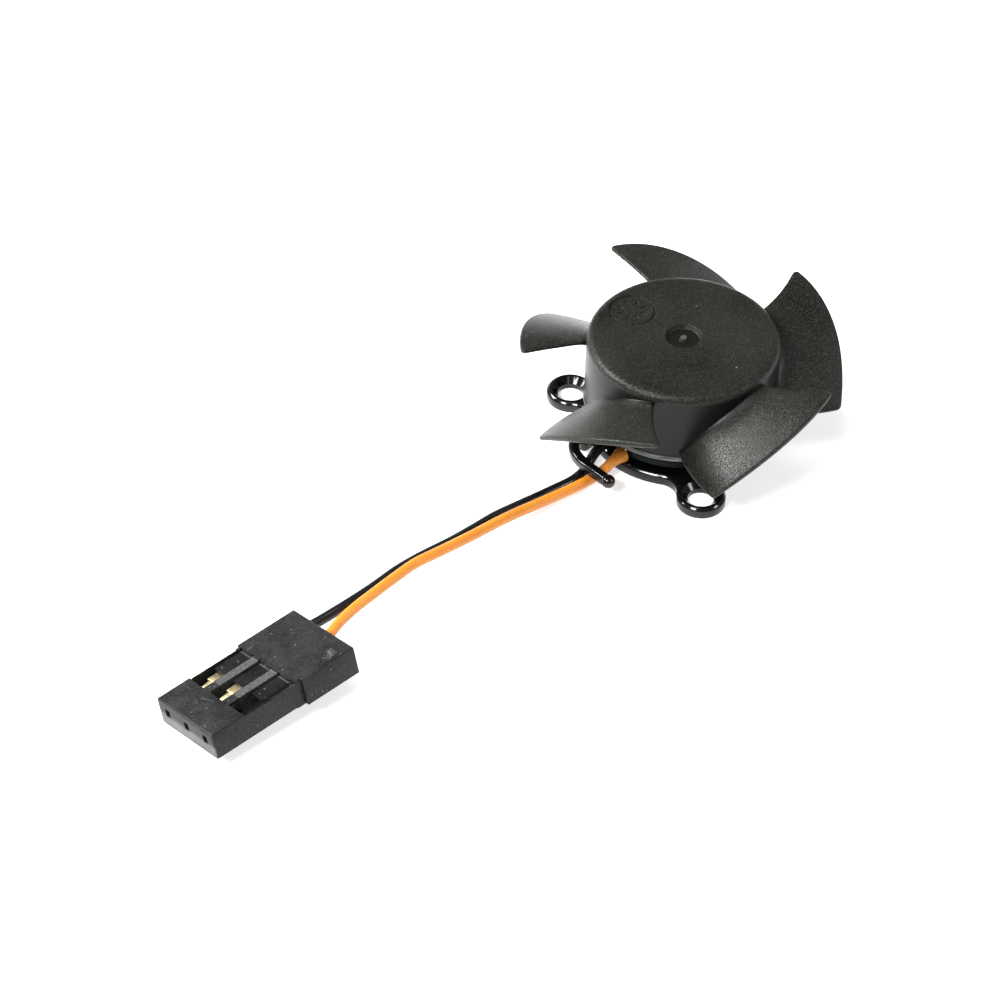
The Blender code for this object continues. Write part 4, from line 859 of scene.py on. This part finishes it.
def makeSolder(name, node, route):
    j = solder
    end, second = Vector(route[0]), Vector(route[1])
    away = end - second
    inward = Vector((away.x, away.y, 0.0)).normalized()
    reach = hypot(end.x, end.y) - board["radius"] + j["setback"] + j["length"] / 2
    centre = Vector((end.x, end.y, 0.0)) + inward * reach
    shape = bmesh.new()
    bmesh.ops.create_uvsphere(shape, u_segments=40, v_segments=24, radius=1.0)
    cut = bmesh.ops.bisect_plane(shape, geom=shape.verts[:] + shape.edges[:] + shape.faces[:],
                                 plane_co=(0, 0, 0), plane_no=(0, 0, -1), clear_outer=True)
    rim = [e for e in cut["geom_cut"] if isinstance(e, bmesh.types.BMEdge)]
    bmesh.ops.edgeloop_fill(shape, edges=rim)
    size = (j["length"] / 2 * mm, j["width"] / 2 * mm, j["height"] * mm)
    bmesh.ops.scale(shape, vec=size, verts=shape.verts)
    for vert in shape.verts:
        vert.co.z *= partWay(j["skirt"], 1.0, vert.co.z / size[2])
    turn = Matrix.Rotation(atan2(inward.y, inward.x), 4, "Z")
    bmesh.ops.transform(shape, matrix=turn, verts=shape.verts)
    moved(shape, centre.x, centre.y, j["pad"])
    bend, level = j["coreBend"]
    strands = tubeShape([end - away.normalized() * j["coreInWire"], end + inward * 0.05,
                         Vector((end.x, end.y, level)) + inward * bend,
                         Vector((centre.x, centre.y, j["pad"] + j["coreEnd"]))], j["core"])
    shape = combined(shape, [strands], "UNION")
    bmesh.ops.recalc_face_normals(shape, faces=shape.faces)
    piece(name, shape, finish("solder"), "base", [node], 60.0)


def tubeCurve(name, line, radius, fineness):
    # a round tube along a line of points, as a curve, and the curve's own points
    curve = bpy.data.curves.new(name, "CURVE")
    curve.dimensions = "3D"
    curve.bevel_depth = radius * mm
    curve.bevel_resolution = fineness
    curve.use_fill_caps = True
    spline = curve.splines.new("POLY")
    spline.points.add(len(line) - 1)
    for point, spot in zip(spline.points, line):
        point.co = (*(spot * mm), 1.0)
    return curve, spline


def tubeShape(points, radius):
    curve = tubeCurve("tube", curveLine(points, 0.12), radius, 5)[0]
    holder = placed("tube", curve)
    bpy.context.view_layer.update()
    mesh = bpy.data.meshes.new_from_object(holder.evaluated_get(bpy.context.evaluated_depsgraph_get()))
    shape = bmesh.new()
    shape.from_mesh(mesh)
    bmesh.ops.remove_doubles(shape, verts=shape.verts, dist=1e-6)
    bmesh.ops.recalc_face_normals(shape, faces=shape.faces)
    bpy.data.objects.remove(holder, do_unlink=True)
    bpy.data.curves.remove(curve)
    bpy.data.meshes.remove(mesh)
    return shape


lead = {
    "diameter": 0.9, "step": 0.25, "flareReach": 0.8,
    "black": [(-6.80, -3.25, 1.70), (-7.38, -3.54, 1.66), (-7.98, -3.95, 1.42),
              (-8.52, -4.47, 1.05), (-9.00, -5.03, 0.73), (-9.60, -5.66, 0.52),
              (-10.63, -6.46, 0.50), (-12.08, -7.30, 0.61), (-14.00, -8.48, 0.86),
              (-15.92, -9.69, 1.17), (-17.83, -10.95, 1.49), (-19.77, -12.49, 1.81),
              (-21.68, -13.98, 2.12), (-23.56, -15.31, 2.45), (-25.41, -16.55, 2.68),
              (-27.26, -17.94, 2.87), (-29.14, -19.56, 3.00), (-30.85, -20.78, 2.98),
              (-32.35, -21.68, 2.85), (-33.75, -22.36, 2.60), (-35.20, -23.05, 2.40),
              (-36.30, -23.69, 2.29), (-37.20, -24.25, 2.22)],
    "orange": [(-5.87, -4.90, 1.70), (-6.38, -5.26, 1.66), (-7.00, -5.62, 1.42),
               (-7.75, -6.00, 1.00), (-8.72, -6.45, 0.68), (-10.37, -7.41, 0.70),
               (-12.29, -8.56, 0.93), (-14.21, -9.71, 1.20), (-16.12, -10.94, 1.57),
               (-18.04, -12.30, 1.95), (-19.97, -13.79, 2.35), (-21.86, -15.16, 2.72),
               (-23.72, -16.42, 3.03), (-25.56, -17.65, 3.30), (-27.43, -19.21, 3.43),
               (-29.29, -20.78, 3.47), (-31.05, -22.18, 3.36), (-32.45, -23.40, 3.15),
               (-33.22, -24.28, 2.99), (-34.05, -25.12, 2.88), (-34.95, -25.79, 2.80),
               (-35.90, -26.38, 2.73)],
    "flare": {"black": 1.05, "orange": 1.6},    # swelling where heat has spread the cut end
}


def makeWire(colour, finishKey):
    route = lead[colour]
    line = curveLine(route, lead["step"])
    curve, spline = tubeCurve(colour + "Wire", line, lead["diameter"] / 2, 6)
    for k, point in enumerate(spline.points):
        fade = exp(-(k * lead["step"] / lead["flareReach"]) ** 2)
        point.radius = partWay(1.0, lead["flare"][colour], fade)
    spline.use_smooth = True
    curve.materials.append(finish(finishKey))
    wire = placed(colour + "Wire", curve)
    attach(wire, "base")
    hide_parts(colour + "_wire")


plug = {
    "place": (-45.54, -32.77, 0.85), "turn": (-11.9, -3.7, 32.0),
    "length": 14.08, "noseLength": 8.3, "noseWidth": 7.5, "thickness": 2.45,
    "stepRight": 0.35, "stepLeft": 0.15, "rearRise": 0.05, "edge": 0.12, "fineEdge": 0.04,
    "leftStart": 8.0, "rightStart": 8.85,      # the wider rear starts further back on the right
    "pitch": 2.54, "channelWidth": 1.7, "channelLow": 0.45, "channelHigh": 1.95, "frontWall": 1.0,
    "windowStart": 3.2, "tongueStart": 5.35, "slot": 0.2, "tongueDrop": 0.14,
    "sideDrop": 0.22, "sideWidth": 0.34,
    "holeWidth": 0.6, "holeHeight": 0.8, "holeMiddle": 1.42,
}


def plugMatrix():
    turn = [radians(a) for a in plug["turn"]]
    place = Matrix.Translation([v * mm for v in plug["place"]])
    return (place @ Matrix.Rotation(turn[2], 4, "Z") @ Matrix.Rotation(turn[1], 4, "Y")
            @ Matrix.Rotation(turn[0], 4, "X"))


def makePlug():
    p = plug
    half = p["noseWidth"] / 2
    t = p["thickness"]
    # the hundredths keep faces of the blocks from lying on each other
    nose = block((0.0, -half, 0.0), (p["noseLength"] + 0.5, half, t), p["edge"])
    rear = block((p["leftStart"], -half - 0.01, -p["rearRise"]),
                 (p["length"] - 0.005, half + p["stepLeft"], t + p["rearRise"]), p["edge"] * 0.6)
    wing = block((p["rightStart"], -half - p["stepRight"], -p["rearRise"] - 0.004),
                 (p["length"], -half + 1.0, t + p["rearRise"] + 0.004), p["edge"] * 0.6)
    shape = combined(nose, [rear, wing], "UNION")
    cutters = []
    middle = (p["channelLow"] + p["channelHigh"]) / 2
    over = 0.6      # how far the cutters stand out of the housing
    for side in (-1, 1):
        # the outer walls are lower beside the windows
        inside, outside = side * (half - p["sideWidth"]), side * (half + over)
        low, high = min(inside, outside), max(inside, outside)
        cutters.append(block((p["windowStart"] + 0.05, low, t - p["sideDrop"]),
                             (p["noseLength"] - 0.02, high, t + over), 0.05, 2))
    for k in range(3):
        y = (1 - k) * p["pitch"]
        near, far = y - p["channelWidth"] / 2, y + p["channelWidth"] / 2
        cutters.append(block((p["frontWall"], near, p["channelLow"]),
                             (p["length"] + over, far, p["channelHigh"]), 0.06, 2))
        wide, tall = p["holeWidth"] / 2, p["holeHeight"] / 2
        cutters.append(block((-over, y - wide, p["holeMiddle"] - tall),
                             (p["frontWall"] + 0.4, y + wide, p["holeMiddle"] + tall), 0.06, 2))
        cutters.append(block((p["windowStart"], near, middle), (p["tongueStart"], far, t + over), 0.05, 2))
        for a, b in ((near, near + p["slot"]), (far - p["slot"], far)):
            low, high = (p["tongueStart"] - 0.3, a, middle), (p["noseLength"], b, t + over)
            cutters.append(block(low, high, 0.03, 1))
        cutters.append(block((p["tongueStart"] - 0.1, near - 0.001, t - p["tongueDrop"]),
                             (p["noseLength"] - 0.1, far + 0.001, t + over)))
    shape = combined(shape, cutters, "DIFFERENCE")
    bmesh.ops.transform(shape, matrix=plugMatrix(), verts=shape.verts)
    made = piece("plugHousing", shape, finish("plugPlastic"), "base", ["plug_housing"], 30.0)
    soften = made.modifiers.new("fineEdges", "BEVEL")
    soften.width = p["fineEdge"] * mm
    soften.segments = 2
    soften.limit_method = "ANGLE"
    soften.angle_limit = radians(40)
    soften.use_clamp_overlap = True
    print("plug housing made")
    return made


terminal = {
    "width": 1.3, "sheet": 0.2, "low": 0.5, "high": 1.3, "front": 1.3, "back": 5.2,
    "block": (4.35, 5.33, 1.02, 2.03),     # start, end, width and top of the locking barb
    "tip": (3.45, 0.52, 1.84),              # where the tapered tongue ends, its width and height
    "tongueShare": 0.34, "tongueDrop": 0.14, "tongueEdge": 0.05,
    "neckWidth": 0.7, "crimp": (7.4, 9.9, 1.0, 1.45), "sleeve": (9.7, 11.3, 1.2, 1.7),
}


def makeTerminal(name, node, y, shift):
    # one crimp socket in the way at y, shifted a little where it sits loose
    s = terminal
    half = s["width"] / 2
    box = block((s["front"], y - half, s["low"]), (s["back"], y + half, s["high"]), 0.12)
    inside = half - s["sheet"]
    hollow = block((s["front"] - 1, y - inside, s["low"] + s["sheet"]),
                   (s["back"] + 1, y + inside, s["high"] - s["sheet"]), 0.05, 2)
    box = combined(box, [hollow], "DIFFERENCE")
    start, end, width, top = s["block"]
    rooted = s["high"] - s["sheet"] * 0.8
    barb = block((start, y - width / 2, rooted), (end, y + width / 2, top), 0.07)
    tipEnd, tipWidth, tipTop = s["tip"]
    reach = width * s["tongueShare"]
    tip = block((tipEnd, y - reach, rooted), (start + 0.2, y + reach, top - s["tongueDrop"]))
    for vert in tip.verts:
        if vert.co.x < (tipEnd + 0.1) * mm:
            vert.co.y = (y + (vert.co.y / mm - y) * tipWidth / (reach * 2)) * mm
            if vert.co.z > s["high"] * mm:
                vert.co.z = tipTop * mm
    bevelled(tip, tip.edges[:], s["tongueEdge"], 2)
    neck = block((s["back"] - 0.3, y - s["neckWidth"] / 2, s["low"] + 0.004),
                 (s["crimp"][0] + 0.3, y + s["neckWidth"] / 2, s["low"] + s["sheet"] - 0.004), 0.03, 2)
    rest = [barb, tip, neck]
    for low, (start, end, width, top) in ((s["low"] + 0.008, s["crimp"]), (s["low"] + 0.012, s["sleeve"])):
        rest.append(block((start, y - width / 2, low), (end, y + width / 2, top), 0.2, 4))
    shape = combined(box, rest, "UNION")
    moved(shape, *shift)
    bmesh.ops.transform(shape, matrix=plugMatrix(), verts=shape.verts)
    return piece(name, shape, finish("gold"), "base", [node], 35.0)


carried = {
    "brass": ["bearing_tube"],
    "bearingSteel": ["lower_bearing_outer_ring", "upper_bearing_outer_ring", "lower_bearing_inner_ring",
                     "upper_bearing_inner_ring", "shaft"],
    "cage": ["lower_bearing_balls", "upper_bearing_balls"],
    "lamination": ["stator_core"],
    "insulator": ["lower_insulator", "upper_insulator"],
    "copper": ["coil_1", "coil_2", "coil_3", "coil_4"],
    "epoxy": ["driver_chip", "bias_resistor", "clamp_diode"],
    "ceramic": ["filter_capacitor"],
    "solder": ["winding_pin_1", "winding_pin_2", "winding_pin_3"],
    "yokeSteel": ["rotor_yoke"],
    "ferrite": ["ring_magnet"],
    "springSteel": ["preload_spring", "retaining_clip", "thrust_washer"],
}


def finishCarried():
    for key, names in carried.items():
        for name in names:
            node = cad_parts[name]
            for slot in node.material_slots:
                slot.material = finish(key)
            if not node.material_slots:
                node.data.materials.append(finish(key))
    print("carried-over pieces finished")


studio = {
    "sky": 0.24,
    "table": (0.72, 0.72, 0.72, 1.0), "tableSize": 3.0, "tableGap": 0.02,
    "glow": 0.64,      # the table itself is lit from below
    "lights": {
        # place, aim, size and power
        "backLeft": ((-385, 165, 335), (0, 0, 5), (220, 200), 5.4),
        "frontLeft": ((-268, -242, 374), (0, 0, 5), (150, 100), 2.3),
        "frontRight": ((356, -166, 275), (0, 0, 5), (110, 110), 0.55),
        "top": ((-90, -70, 500), (-10, -5, 0), (200, 200), 0.8),
    },
}


def makeStudio():
    shape = bmesh.new()
    bmesh.ops.create_grid(shape, x_segments=1, y_segments=1, size=studio["tableSize"])
    mesh = asMesh("floor", shape)
    paper = bpy.data.materials.new("paper")
    paper.use_nodes = True
    shader = paper.node_tree.nodes["Principled BSDF"]
    white = (1.0, 1.0, 1.0, 1.0)
    shader.inputs["Base Color"].default_value = studio["table"]
    shader.inputs["Roughness"].default_value = 0.9
    shader.inputs["Emission Color"].default_value = white
    shader.inputs["Emission Strength"].default_value = studio["glow"]
    mesh.materials.append(paper)
    floor = placed("floor", mesh)
    floor.location.z = -studio["tableGap"] * mm
    world = bpy.data.worlds.new("softSky")
    world.use_nodes = True
    sky = world.node_tree.nodes["Background"]
    sky.inputs["Color"].default_value = white
    sky.inputs["Strength"].default_value = studio["sky"]
    bpy.context.scene.world = world
    for name, (place, aim, size, power) in studio["lights"].items():
        lamp = bpy.data.lights.new(name, "AREA")
        lamp.shape = "RECTANGLE"
        lamp.size = size[0] * mm
        lamp.size_y = size[1] * mm
        lamp.energy = power
        place, aim = Vector(place) * mm, Vector(aim) * mm
        turn = (aim - place).to_track_quat("-Z", "Y").to_matrix().to_4x4()
        placed(name, lamp).matrix_world = Matrix.Translation(place) @ turn
    bpy.context.scene.view_settings.view_transform = "Standard"
    print("studio lit")


placeCamera()
housing = makePlug()
blackTerminal = makeTerminal("blackCrimpSocket", "black_terminal", plug["pitch"], (0.03, -0.1, 0.0))
orangeTerminal = makeTerminal("orangeCrimpSocket", "orange_terminal", 0.0, (0.12, 0.0, 0.0))
makeWire("black", "blackSkin")
makeWire("orange", "orangeSkin")
makeImpeller()
makePlate()
makeLabel()
makeBoard()
makeSolder("blackSolder", "black_solder_joint", lead["black"])
makeSolder("orangeSolder", "orange_solder_joint", lead["orange"])
finishCarried()
makeStudio()
